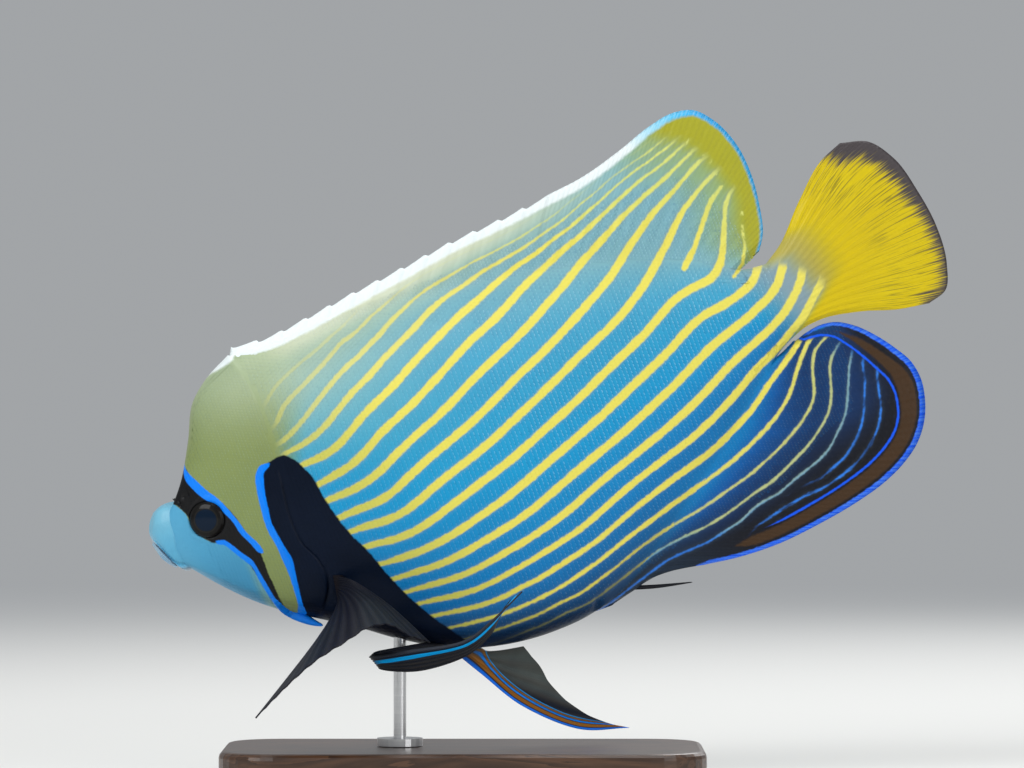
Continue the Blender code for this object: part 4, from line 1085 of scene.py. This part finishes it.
def turnScales(places, normals, share):  # each scale points to the tail and rises off the skin
    u, _, region = places.T
    slope = (1 - share) * lineSlope(bellyLine, u) + share * lineSlope(backLine, u)
    slope = np.where(region == 0, 0, coatLook["slant"] * slope)
    x, z = tilted(np.ones_like(slope), slope)
    lie = np.column_stack([x, x * 0, z])
    lie -= (lie * normals).sum(1)[:, None] * normals
    lie /= np.linalg.norm(lie, axis=1)[:, None]
    c, s = math.cos(coatLook["rise"]), math.sin(coatLook["rise"])
    forward, up = lie * c + normals * s, normals * c - lie * s
    return [Matrix(np.column_stack([f, np.cross(w, f), w]).tolist()).to_euler() for f, w in zip(forward, up)]


def grow(name, tree, mesh, given):  # runs the tree on the places and keeps the plain mesh
    coat = newObject(name, mesh)
    step = coat.modifiers.new("scales", "NODES")
    step.node_group = tree
    for item in tree.interface.items_tree:
        if item.item_type == "SOCKET" and item.in_out == "INPUT" and item.name in given:
            step[item.identifier] = given[item.name]
    made = bpy.data.meshes.new_from_object(coat.evaluated_get(bpy.context.evaluated_depsgraph_get()))
    coat.modifiers.clear()
    coat.data = made
    bpy.data.meshes.remove(mesh)
    return coat, made


def buildCoat(name, places, side, size, tools):
    finish, plate, tree, ground = tools
    hits, normals, places = dropOnSkin(places, side, ground)
    u, v, _ = places.T
    low, high = np.interp(u, *bellyLine.T), np.interp(u, *backLine.T)
    share = np.clip((v - low) / (high - low), 0, 1)
    sizes = np.full(len(u), size)
    if size == 1.0:  # the flank's scales grow smaller towards back and belly
        sizes *= 0.55 + 0.45 * smooth(np.minimum(share, 1 - share), 0, 0.12)
    mesh = newMesh(name, hits + normals * coatLook["lift"] * mm, [])
    store(mesh, "turn", np.array(turnScales(places, normals, share)), "FLOAT_VECTOR")
    store(mesh, "root", places, "FLOAT_VECTOR")
    store(mesh, "size", sizes)
    given = {"Plate": plate, "Finish": finish, "Length": coatLook["length"] * mm,
             "Width": coatLook["width"] * mm, "Thickness": coatLook["thickness"] * mm,
             "Jitter": coatLook["jitter"], "Seed": coatLook["seed"]}
    coat, made = grow(name, tree, mesh, given)

    count = len(made.vertices)
    plateAt, rootAt, at = recall(made, "plate"), recall(made, "root"), np.zeros(3 * count, np.float32)
    made.vertices.foreach_get("co", at)
    paint(made, toFish(at.reshape(-1, 3))[:, [0, 2]], np.rint(rootAt[:, 2]).astype(int))
    # how strongly each scale carries the painted root shade and edge highlight: random for each scale, weak
    # on the head, stronger towards the tail
    luck = np.random.default_rng(coatLook["seed"]).uniform(*coatLook["luck"], len(places))
    shade = np.repeat(luck, count // len(places))
    shade = shade * np.where(rootAt[:, 2] == 0, 0.25, 0.35 + 0.65 * smooth(rootAt[:, 0], 90, 170))
    store(made, "tip", plateAt[:, 0] + 0.5)
    store(made, "shade", shade)
    corner = np.zeros(len(made.loops), np.int32)
    made.loops.foreach_get("vertex_index", corner)
    chart = coatLook["map"]
    spot = (rootAt[:, :2] - chart["corner"]) / chart["span"] + plateAt[:, :2] * chart["patch"]
    made.uv_layers.new(name="OFBake").data.foreach_set("uv", spot[corner].astype(np.float32).ravel())
    for label in ("plate", "root", "size", "turn"):
        if label in made.attributes:
            made.attributes.remove(made.attributes[label])
    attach(coat, "root")
    print(name, len(made.polygons), "triangles")


def buildScales():
    plate = buildPlate()
    ground = BVHTree.FromPolygons([v.co for v in skin.data.vertices],
                                  [tuple(f.vertices) for f in skin.data.polygons])
    tools = (fishMaterial("scales", True), plate, scaleTree(), ground)
    flank, small = flankPlaces()
    for side, label in ((-1, "left"), (1, "right")):
        buildCoat("flank_scales_" + label, flank, side, coatLook["flank"]["size"], tools)
        buildCoat("small_scales_" + label, small, side, coatLook["small"]["size"], tools)
    bpy.data.objects.remove(plate, do_unlink=True)


# free spines, and the flap of each nostril

thorns = {
    "cheek": {"line": [(36, -43), (39, -50), (43.7, -55.4), (47, -58.6), (50, -61)],
              "radius": [1.3, 2.1, 2.2, 1.6, 0.35], "colour": "blueBand", "sink": 1.4, "standOff": 0.5},
    "flap": {"line": [(14.8, 3.6), (13.9, 4.6), (12.9, 5.6), (12.2, 6.6)], "radius": [0.55, 0.55, 0.4, 0.12],
             "colour": "mask", "sink": 0.9, "standOff": 1.0},
    "anal": {"line": [(166, -88.6), (178, -92.4), (192.5, -96)], "radius": [0.9, 0.75, 0.2],
             "colour": "analOuter"},
    "rings": 40, "sides": 20, "flatness": 0.75,
    "seated": 0.45,  # the share of the line over which its foot follows the skin
}


def headSurface(u, v):
    head = skinPart == 0
    near = np.argsort(np.hypot(skinPoints[head, 0] - u, skinPoints[head, 2] - v))[:6]
    return float(skinPoints[head, 1][near].mean())


def buildThorn(name, look, side):
    line = curve(look["line"])
    radius = hermite(np.linspace(0, 1, len(look["radius"])), np.array(look["radius"]))
    rings, sides = thorns["rings"], thorns["sides"]
    t = np.linspace(0, 1, rings)
    at = line(t)
    along = np.gradient(at, axis=0)
    along /= np.linalg.norm(along, axis=1)[:, None]
    out = np.zeros(rings)
    if side:
        out = np.array([headSurface(*line(min(k, thorns["seated"]))) for k in t])
        out += look["standOff"] - look["sink"] * (1 - t)
    turn = np.linspace(0, 2 * np.pi, sides, endpoint=False)
    size = radius(t)[:, None] * roundOff(t * 12, 1.0)[:, None] * roundOff((1 - t) * 25, 1.0)[:, None]
    off, lift = size * np.cos(turn), thorns["flatness"] * size * np.sin(turn)
    points = np.stack([at[:, :1] - off * along[:, 1:], side * out[:, None] + lift,
                       at[:, 1:] + off * along[:, :1]], axis=-1)
    index = np.arange(rings * sides).reshape(rings, sides)
    index = np.concatenate([index, index[:, :1]], axis=1)
    mesh = newMesh(name, toWorld(points.reshape(-1, 3)), quads(index).tolist())
    finishMesh(mesh, merge=1e-6)
    f = Finish(name + "_finish", 0.4, coat=0.1, specular=0.2)
    colour = colourOf(look["colour"])
    f.set("Base Color", f.mix(f.noise(300, 3), colour, tuple(0.7 * c for c in colour)))
    mesh.materials.append(f.material)
    thorn = newObject(name, mesh)
    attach(thorn, "root")


for side, label in ((-1, "left"), (1, "right")):
    buildThorn("cheek_spine_" + label, thorns["cheek"], side)
    buildThorn("nostril_flap_" + label, thorns["flap"], side)
buildThorn("anal_spine", thorns["anal"], 0)

# lips

lipLook = {
    "mouth": [(-1.5, -6.4), (0.5, -10), (2.4, -13.9), (4.6, -18.8), (7.3, -22), (9.8, -22.4)],
    "upperEdge": [(2.8, 4), (5.3, 5.2), (8, 5.8), (10.6, 5.7), (13.6, 5)],
    "upperFront": [(-1.5, -6.4), (-1.4, -3), (0.2, 0.9), (2.8, 4)],
    "lowerEdge": [(-1.9, -7.6), (-1.1, -11), (-0.3, -13.9), (1.2, -16.4)],
    "jawShare": 0.66, "jawDrop": (-0.8, -0.8), "overlap": (0.5, 0.45),
    "fullness": [(0, 1.4), (0.1, 3.9), (0.3, 6.6), (0.6, 8.5), (1, 9.6)],
    "tuck": [(0.8, 0.93), (1.8, 0.7), (2.6, 0)],  # millimetres behind, and the share of the thickness kept
    "roll": 1.0, "furrow": 0.8, "lowerWidth": 0.8,
    "top": (112, 176, 202), "low": (86, 162, 198), "edge": (164, 172, 184), "under": (30, 130, 186),
    "sheen": (0.72, 0.80, 0.84), "columns": 60, "rows": 60,
}


def buildLip(name, place, wide, lower):
    t = 0.006 + 0.994 * np.linspace(0, 1, lipLook["columns"])[:, None] ** 1.6
    s = 0.5 - 0.5 * np.cos(np.pi * np.linspace(0, 1, lipLook["rows"]))[None, :]
    at = place(t, s)
    t, s = np.broadcast_arrays(t, s)
    top, low = np.linalg.norm(at - at[:, -1:], axis=-1), np.linalg.norm(at - at[:, :1], axis=-1)
    front = np.linalg.norm(at - at[:1], axis=-1)
    rounding = 0.28 + 0.72 * np.clip(1 - np.abs(2 * s - 1) ** 2.1, 0, 1) ** 0.5
    half = wide * graph(lipLook["fullness"])(t) * rounding
    mouthSide = top if lower else low
    roll = np.exp(-((mouthSide - 1.4) / 1.0) ** 2) * smooth(t, 0, 0.25) * (1 - smooth(t, 0.8, 1))
    half = half + lipLook["roll"] * roll
    if not lower:
        half = half - lipLook["furrow"] * np.exp(-((mouthSide - 3.6) / 0.9) ** 2) * smooth(t, 0, 0.3)
    half = half * (0.5 + 0.5 * smooth(front, 0, 2.0))
    topDepth, lowDepth = (1.1, 2.2) if lower else (2.6, 1.3)
    half = half * roundOff(top, topDepth) * roundOff(low, lowDepth) * roundOff(front, 1.4)
    behind = [at[-1] + np.array([move, 0]) for move, _ in lipLook["tuck"]]
    thinner = [half[-1] * kept for _, kept in lipLook["tuck"]]
    at, half = np.concatenate([at, behind]), np.concatenate([half, thinner])
    index = np.arange(half.size).reshape(half.shape)
    points = np.stack([at[..., 0], half, at[..., 1]], axis=-1).reshape(-1, 3)
    edge = np.concatenate([mouthSide, *[mouthSide[-1:]] * len(lipLook["tuck"])]).ravel()
    lip, source = closedMesh(name, points, quads(index))
    v = points[source, 2]
    colour = np.tile(np.array(lipLook["low"], float), (len(v), 1))
    if lower:
        colour = mixed(colour, lipLook["under"], 1 - smooth(v, -17, -9))
    else:
        colour = mixed(colour, lipLook["top"], smooth(v, -14, 3))
    colour = mixed(colour, lipLook["edge"], 0.8 * (1 - smooth(edge[source], 0.6, 3.4)))
    store(lip.data, "lipColour", linear(colour), "FLOAT_COLOR")
    f = Finish(name + "_flesh", 0.38, coat=0.15, coatRoughness=0.25, specular=0.2)
    tone = f.mix(f.noise(260, 4) * 0.5, f.readColour("lipColour"), lipLook["sheen"], "SOFT_LIGHT")
    f.set("Base Color", tone)
    f.bump(f.noise(700, 3) + f.noise(180), 0.3, 0.0005)
    lip.data.materials.append(f.material)
    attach(lip, "root")
    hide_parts(name)
    lip.name = "visual_" + name


def buildLips():
    mouth = curve(lipLook["mouth"])
    jaw = stretch(mouth, 0, lipLook["jawShare"])
    end = jaw(1.0) + np.array(lipLook["jawDrop"])
    upper = patch(mouth, curve(lipLook["upperEdge"]), curve(lipLook["upperFront"]), curve(fish["snoutEdge"]))
    overlap = np.array(lipLook["overlap"])
    lower = patch(curve([*lipLook["lowerEdge"], tuple(end)]), lambda t: jaw(t) + overlap,
                  curve([lipLook["lowerEdge"][0], lipLook["mouth"][0] + overlap]),
                  curve([tuple(end), jaw(1.0) + overlap]))
    buildLip("upper_lip", upper, 1.0, False)
    buildLip("lower_lip", lower, lipLook["lowerWidth"], True)


buildLips()
print("lips built")

# eyes

eyeLook = {
    "pupil": 4.3, "ring": 0.3, "rings": 40, "segments": 96, "step": 0.12,
    "pupilColour": (0.002, 0.010, 0.026), "irisColour": (0.011, 0.010, 0.008),
    "outerColour": (0.004, 0.004, 0.005), "ringColour": (0.03, 0.03, 0.026),
}


def buildEye(name, side):
    count = eyeLook["segments"]
    turn = np.linspace(0, 2 * np.pi, count, endpoint=False)
    angles = np.linspace(0, np.pi, 2 * eyeLook["rings"] + 1)[1:-1]
    points = [(0, 0, fish["eyeBulge"])]
    for angle in angles:
        r, outer = math.sin(angle), math.cos(angle) > 0
        z = (fish["eyeBulge"] if outer else fish["eyeDepth"]) * math.cos(angle)
        if outer:  # a step where the clear front of the eye meets the white
            z -= eyeLook["step"] * (1 - smooth(0.93 - r, 0, 0.05)) * (1 - smooth(r, 0.985, 1.0))
        radius = fish["eyeRadius"] * r
        points += [(radius * math.cos(a), radius * math.sin(a), z) for a in turn]
    points.append((0, 0, -fish["eyeDepth"]))
    first = 1 + np.arange(len(angles) * count).reshape(-1, count)
    rows = np.concatenate([first, first[:, :1]], axis=1)
    faces = [(0, int(a), int(b)) for a, b in zip(rows[0], rows[0, 1:])]
    faces += quads(rows).tolist()
    faces += [(int(a), len(points) - 1, int(b)) for a, b in zip(rows[-1], rows[-1, 1:])]
    local = np.array(points)
    tilt = Matrix.Rotation(side * fish["eyeToeIn"], 3, "Z") @ Matrix.Rotation(-side * math.pi / 2, 3, "X")
    placed = local @ np.array(tilt).T + np.array([fish["eyeAt"][0], side * eyeOut, fish["eyeAt"][1]])
    mesh = newMesh(name, toWorld(placed), faces)
    finishMesh(mesh)
    store(mesh, "eyeRadius", np.hypot(local[:, 0], local[:, 1]))
    eye = newObject("visual_" + name, mesh)
    f = Finish(name + "_gloss", 0.3, coat=0.2, coatRoughness=0.03, specular=0.05)
    radius = f.read("eyeRadius")
    iris = f.mix(f.noise(500, 4), eyeLook["irisColour"], eyeLook["outerColour"])
    ringAt = abs(radius - (eyeLook["pupil"] + 0.4)) - eyeLook["ring"] / 2
    colour = f.mix(f.within(ringAt, 0.35) * 0.5, iris, eyeLook["ringColour"])
    colour = f.mix(f.within(radius - eyeLook["pupil"], 0.25), colour, eyeLook["pupilColour"])
    f.set("Base Color", colour)
    mesh.materials.append(f.material)
    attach(eye, "root")
    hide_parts(name)


for side, label in ((-1, "left"), (1, "right")):
    buildEye("eye_" + label, side)
print("eyes built")

# pectoral and pelvic fins

fins = {
    "root": [(60.5, -56.5), (61.5, -50), (62.5, -43.5)],
    "leftTips": [(15.8, -83.7, -54), (27, -78.3, -61), (36, -74.3, -66), (47, -70.4, -69), (58, -68.2, -68),
                 (68, -66.2, -63), (76, -68, -53), (82, -75.5, -41), (88, -81, -30)],
    "rightTips": [(92, -86, 33), (106, -80, 38), (116, -68, 37), (121, -54, 34), (119, -40, 31)],
    "leftPelvic": [[(86, -3.5, -82.5), (93, -3.4, -85.5)], [(67.5, -20, -77.8), (72, -17, -82.5)],
                   [(66, -35, -78), (67, -29, -83.5)], [(80, -48, -80.6), (81, -39, -89)],
                   [(100, -54, -84.2), (99, -43, -89.9)], [(113.4, -52.5, -80.8), (110.5, -43.5, -86)],
                   [(128.7, -48.8, -74.2), (122, -45, -76.6), (116, -41.5, -81.5)]],
    "rightPelvic": [[(93, 3.6, -85.5), (98, 3.5, -87.5), (104, 3.2, -89.5)],
                    [(101.5, 6, -100.5), (103.5, 5.4, -97.5), (106.5, 4.2, -93)],
                    [(112.3, 9, -118.6), (112, 7.6, -109), (110.5, 5, -94.5)],
                    [(129.7, 12.5, -135), (122.5, 9.8, -118), (115.5, 6, -95.6)],
                    [(148.9, 15, -141.9), (140.8, 13.5, -136.4), (133, 12, -128.3), (126.2, 10.5, -115.8),
                     (124, 8.5, -105.1), (121, 7, -96.6)]],
    "pectoralRays": 16, "pelvicRays": 6, "branches": 4, "edge": 0.14, "rayHeight": 0.2, "branchHeight": 0.07,
    "fringe": 0.012, "steps": 80, "perRay": 10, "seat": 0.35, "sunk": -1.2,
    "pectoralHalf": 1.5, "pelvicHalf": 1.3,  # half the thickness at the root
}
finLook = {  # a band is given by the millimetres from the leading edge at which it starts and ends
    "leftPelvic": {"cloud": (0.02, 0.024, 0.03), "spread": 0.9, "bandsFrom": (0.34, 0.05),
                   "bands": [(2.5, 5.5, (0.0, 0.44, 1.0)), (0.0, 1.0, (0.03, 0.04, 0.06))]},
    "rightPelvic": {"cloud": (0.11, 0.13, 0.12), "spread": 1.0, "bandsFrom": (0.12, 0.14),
                    "bands": [(0.0, 1.6, (0.01, 0.20, 1.0)), (2.3, 4.8, (0.36, 0.14, 0.015)),
                              (5.4, 6.7, (0.01, 0.26, 0.95)), (7.2, 8.4, (0.30, 0.13, 0.02)),
                              (8.9, 9.8, (0.02, 0.30, 0.75))]},
    "pelvicGround": (0.008, 0.012, 0.025), "pelvicRay": (0.06, 0.05, 0.042), "bandShade": (0.02, 0.03, 0.05),
    "pectoral": (0.003, 0.004, 0.010), "pectoralOuter": (0.010, 0.010, 0.018),
    "pectoralCloud": (0.006, 0.007, 0.010), "pectoralRay": (0.06, 0.06, 0.07), "lobe": (0.016, 0.012, 0.012),
}


def paintPelvic(f, look, out, across, fine, cloud, crest):
    rear = f.within(0.45 - across, 0.2)
    base = f.mix(rear * (cloud + 0.2), finLook["pelvicGround"], look["cloud"])
    base = f.mix(crest * 0.4, base, finLook["pelvicRay"])
    lead = across * f.read("width")  # millimetres from the leading edge
    start, soft = look["bandsFrom"]
    for low, high, colour in look["bands"]:
        middle, reach = (low + high) / 2 * look["spread"], (high - low) / 2 * look["spread"]
        band = f.within(abs(lead - middle) - reach, 0.3) * f.within(start - out, soft)
        base = f.mix(band, base, f.mix(fine * 0.2, colour, finLook["bandShade"]))
    return base


def paintPectoral(f, out, cloud, crest):
    base = f.mix(calc(f.tree, "POWER", out, 1.6) * 0.8, finLook["pectoral"], finLook["pectoralOuter"])
    base = f.mix(cloud * 0.3, base, finLook["pectoralCloud"])
    base = f.mix(crest * (out * 0.25), base, finLook["pectoralRay"])
    lobe = f.within(out - 0.16, 0.06, cloud * 0.1)
    return f.mix(lobe * 0.6, base, finLook["lobe"])


def finMaterial(name, look):
    f = Finish(name, 0.5, coat=0.04, coatRoughness=0.3, specular=0.1)
    out, across, crest = (f.read(label) for label in ("out", "across", "crest"))
    fine = f.noise(1.0, 2, combine(f.tree, out * 5.0, across * 150.0))
    cloud = f.noise(60, 3)
    if look:
        f.set("Base Color", paintPelvic(f, look, out, across, fine, cloud, crest))
    else:
        f.set("Base Color", paintPectoral(f, out, cloud, crest))
    f.bump(fine + f.noise(800) * 0.4, 0.3, 0.0004)
    return f.material


def buildFin(name, rows, rays, rootHalf, look=None):
    columns, steps = fins["perRay"] * (rays - 1) + 1, fins["steps"]
    across, out = np.linspace(0, 1, columns)[None, :], np.linspace(0, 1, steps)[:, None]
    ray = across * (rays - 1)
    crest = 0.5 + 0.5 * np.cos(2 * np.pi * ray)
    reach = out * (1 - fins["fringe"] * (1 - crest ** 0.5))
    knots = np.stack([row(across[0]) for row in rows])
    whole = hermite(np.linspace(0, 1, len(rows)), knots)
    centre = np.stack([whole(reach[:, j])[:, j] for j in range(columns)], axis=1)
    along, cross = np.gradient(centre, axis=0), np.gradient(centre, axis=1)
    normal = np.cross(along, cross)
    normal /= np.maximum(np.linalg.norm(normal, axis=-1, keepdims=True), 1e-9)
    width = np.linalg.norm(np.diff(centre, axis=1), axis=-1).sum(axis=1)[:, None]
    branch = 0.5 + 0.5 * np.cos(2 * np.pi * ray * fins["branches"])
    half = fins["edge"] + (rootHalf - fins["edge"]) * (1 - out) ** 1.6
    half = half + fins["rayHeight"] * crest ** 2 * np.clip(out * 5, 0, 1) * (1.3 - 0.8 * out)
    half = half + fins["branchHeight"] * branch * smooth(out, 0.35, 0.8)
    side = normal * half[..., None]
    index = np.arange(steps * columns).reshape(steps, columns)
    far = steps * columns
    points = np.concatenate([(centre + side).reshape(-1, 3), (centre - side).reshape(-1, 3)])
    faces = quads(index).tolist() + (quads(index) + far)[:, ::-1].tolist()
    rim = np.concatenate([index[:-1, 0], index[-1, :-1], index[:0:-1, -1], index[0, :0:-1]])
    faces += [(a, far + a, far + b, b) for a, b in zip(rim.tolist(), np.roll(rim, -1).tolist())]
    mesh = newMesh(name, toWorld(points), faces)
    for label, values in (("out", out), ("across", across), ("crest", crest), ("width", width)):
        store(mesh, label, np.tile(np.broadcast_to(values, index.shape).ravel(), 2))
    finishMesh(mesh)
    fin = newObject("visual_" + name, mesh)
    mesh.materials.append(finMaterial(name + "_skin", look))
    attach(fin, "root")
    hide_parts(name)


def flankAt(u, v):  # how far out the flank lies at a place
    body = skinPart == 1
    near = np.hypot(skinPoints[body, 0] - u, skinPoints[body, 2] - v)
    return float(skinPoints[body, 1][near < 1.6].max())


def pectoralRows(tips, side):  # four lines across the fin, from its root to its tips
    tip = curve([(u, w, v) for u, v, w in tips])
    seated, sunk = (curve([(u, side * (flankAt(u, v) + lift), v) for u, v in fins["root"]])
                    for lift in (fins["seat"], fins["sunk"]))
    near, far = np.array([1.8, side * 5.6, 0.4]), np.array([2.2, side * 4.4, 0.9])
    return [sunk, lambda a: 0.84 * seated(a) + 0.16 * tip(a) + near,
            lambda a: 0.46 * seated(a) + 0.54 * tip(a) + far, tip]


for side, label in ((-1, "left"), (1, "right")):
    buildFin("pectoral_fin_" + label, pectoralRows(fins[label + "Tips"], side), fins["pectoralRays"],
             fins["pectoralHalf"])
for label in ("left", "right"):
    buildFin("pelvic_fin_" + label, [curve(row) for row in fins[label + "Pelvic"]], fins["pelvicRays"],
             fins["pelvicHalf"], finLook[label + "Pelvic"])
print("paired fins built")
buildScales()
print("scales built")

# stand

standLook = {
    "woodDark": (0.035, 0.016, 0.008), "woodLight": (0.11, 0.052, 0.026), "grainStretch": (1.6, 12.0, 12.0),
    "yearRings": 7.0, "steel": (0.55, 0.56, 0.57), "steelLight": (0.72, 0.72, 0.72),
    "brushStretch": (40.0, 40.0, 1500.0),
}


def stretched(f, scale):  # object coordinates, drawn out along a grain
    return f.node("Mapping", 0, {"Scale": scale, "Vector": f.place()})


def paintStand():
    wood = Finish("walnut", 0.38, coat=0.4, coatRoughness=0.2)
    grain = stretched(wood, standLook["grainStretch"])
    waves = wood.node("TexNoise", "Fac", {"Scale": 6.0, "Detail": 6.0, "Distortion": 1.2, "Vector": grain})
    pores = wood.noise(60.0, 3.0, grain)
    rings = calc(wood.tree, "FRACT", waves * standLook["yearRings"])
    tone = wood.mix(rings, standLook["woodDark"], standLook["woodLight"])
    wood.set("Base Color", wood.mix(pores * 0.5, tone, standLook["woodDark"]))
    wood.bump(pores, 0.15, 0.0005)
    steel = Finish("brushed_steel", 0.3, metallic=1.0)
    lines = steel.noise(1.0, 3, stretched(steel, standLook["brushStretch"]))
    steel.set("Base Color", steel.mix(lines, standLook["steel"], standLook["steelLight"]))
    steel.bump(lines, 0.1, 0.0002)
    for piece, finish in (("stand_base", wood), ("stand_rod", steel)):
        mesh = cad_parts[piece].data
        mesh.materials.clear()
        mesh.materials.append(finish.material)


paintStand()
print("stand painted")

# floor, light and camera

studio = {
    "distance": 2.2, "pictureSize": (1024, 768), "floorColour": (0.78, 0.78, 0.76),
    "floorSpots": (0.6, 0.6, 0.6), "floorRadius": 2.6, "floorSides": 128, "fade": (1.35, 0.85), "gloss": 0.3,
    "worldColour": (0.82, 0.85, 0.88), "worldLight": 0.44, "lightsAimAt": (0, 0, 0.13),
    "lights": {"key": ((-1.1, -1.5, 1.4), 1.2, 26), "fill": ((1.4, -1.6, 0.7), 1.4, 11),
               "top": ((0.2, 0.2, 1.9), 1.2, 13), "back": ((0.6, 1.3, 1.0), 1.0, 8)},  # place, size and power
}


def buildFloor():
    sides, radius = studio["floorSides"], studio["floorRadius"]
    turn = np.linspace(0, 2 * np.pi, sides, endpoint=False)
    points = [(0, 0, 0)] + [(radius * math.cos(a), radius * math.sin(a), 0) for a in turn]
    floor = newObject("studio_floor", newMesh("studio_floor", points,
                                              [(0, 1 + k, 1 + (k + 1) % sides) for k in range(sides)]))
    f = Finish("floor_paint", 0.75)
    tone = f.mix(f.noise(3) * 0.04, studio["floorColour"], studio["floorSpots"])
    out = f.node("VectorMath", "Value", {0: f.place()}, operation="LENGTH")
    middle, reach = studio["fade"]
    fade = f.within(middle - out, reach)  # the floor melts into the background
    f.set("Base Color", f.mix(fade, tone, (0.0, 0.0, 0.0)))
    f.set("Emission Strength", fade * studio["worldLight"])
    f.set("Emission Color", studio["worldColour"])
    f.set("Specular IOR Level", (1.0 - fade) * studio["gloss"])
    floor.data.materials.append(f.material)


def lightStudio():
    for name, (place, size, power) in studio["lights"].items():
        light = bpy.data.lights.new(name, "AREA")
        light.size, light.energy = size, power
        lamp = newObject(name, light)
        lamp.location = place
        aim = Vector(studio["lightsAimAt"]) - Vector(place)
        lamp.rotation_euler = aim.to_track_quat("-Z", "Y").to_euler()
    world = bpy.data.worlds.new("studio_world")
    world.use_nodes = True
    background = world.node_tree.nodes["Background"]
    background.inputs["Color"].default_value = (*studio["worldColour"], 1)
    background.inputs["Strength"].default_value = studio["worldLight"]
    bpy.context.scene.world = world


def aimCamera():
    camera = newObject("camera", bpy.data.cameras.new("camera"))
    wide, high = studio["pictureSize"]
    pixel = photo["scale"] * mm
    camera.data.lens = camera.data.sensor_width * studio["distance"] / (wide * pixel)
    x, z = (wide / 2 - photo["snout"][0]) * pixel, (photo["snout"][1] - high / 2) * pixel
    camera.location = (origin[0] + x, origin[1] - studio["distance"], origin[2] + z)
    camera.rotation_euler = (math.radians(90), 0, 0)
    bpy.context.scene.camera = camera


buildFloor()
lightStudio()
aimCamera()
bpy.context.scene.view_settings.view_transform = "Standard"
print("studio ready")
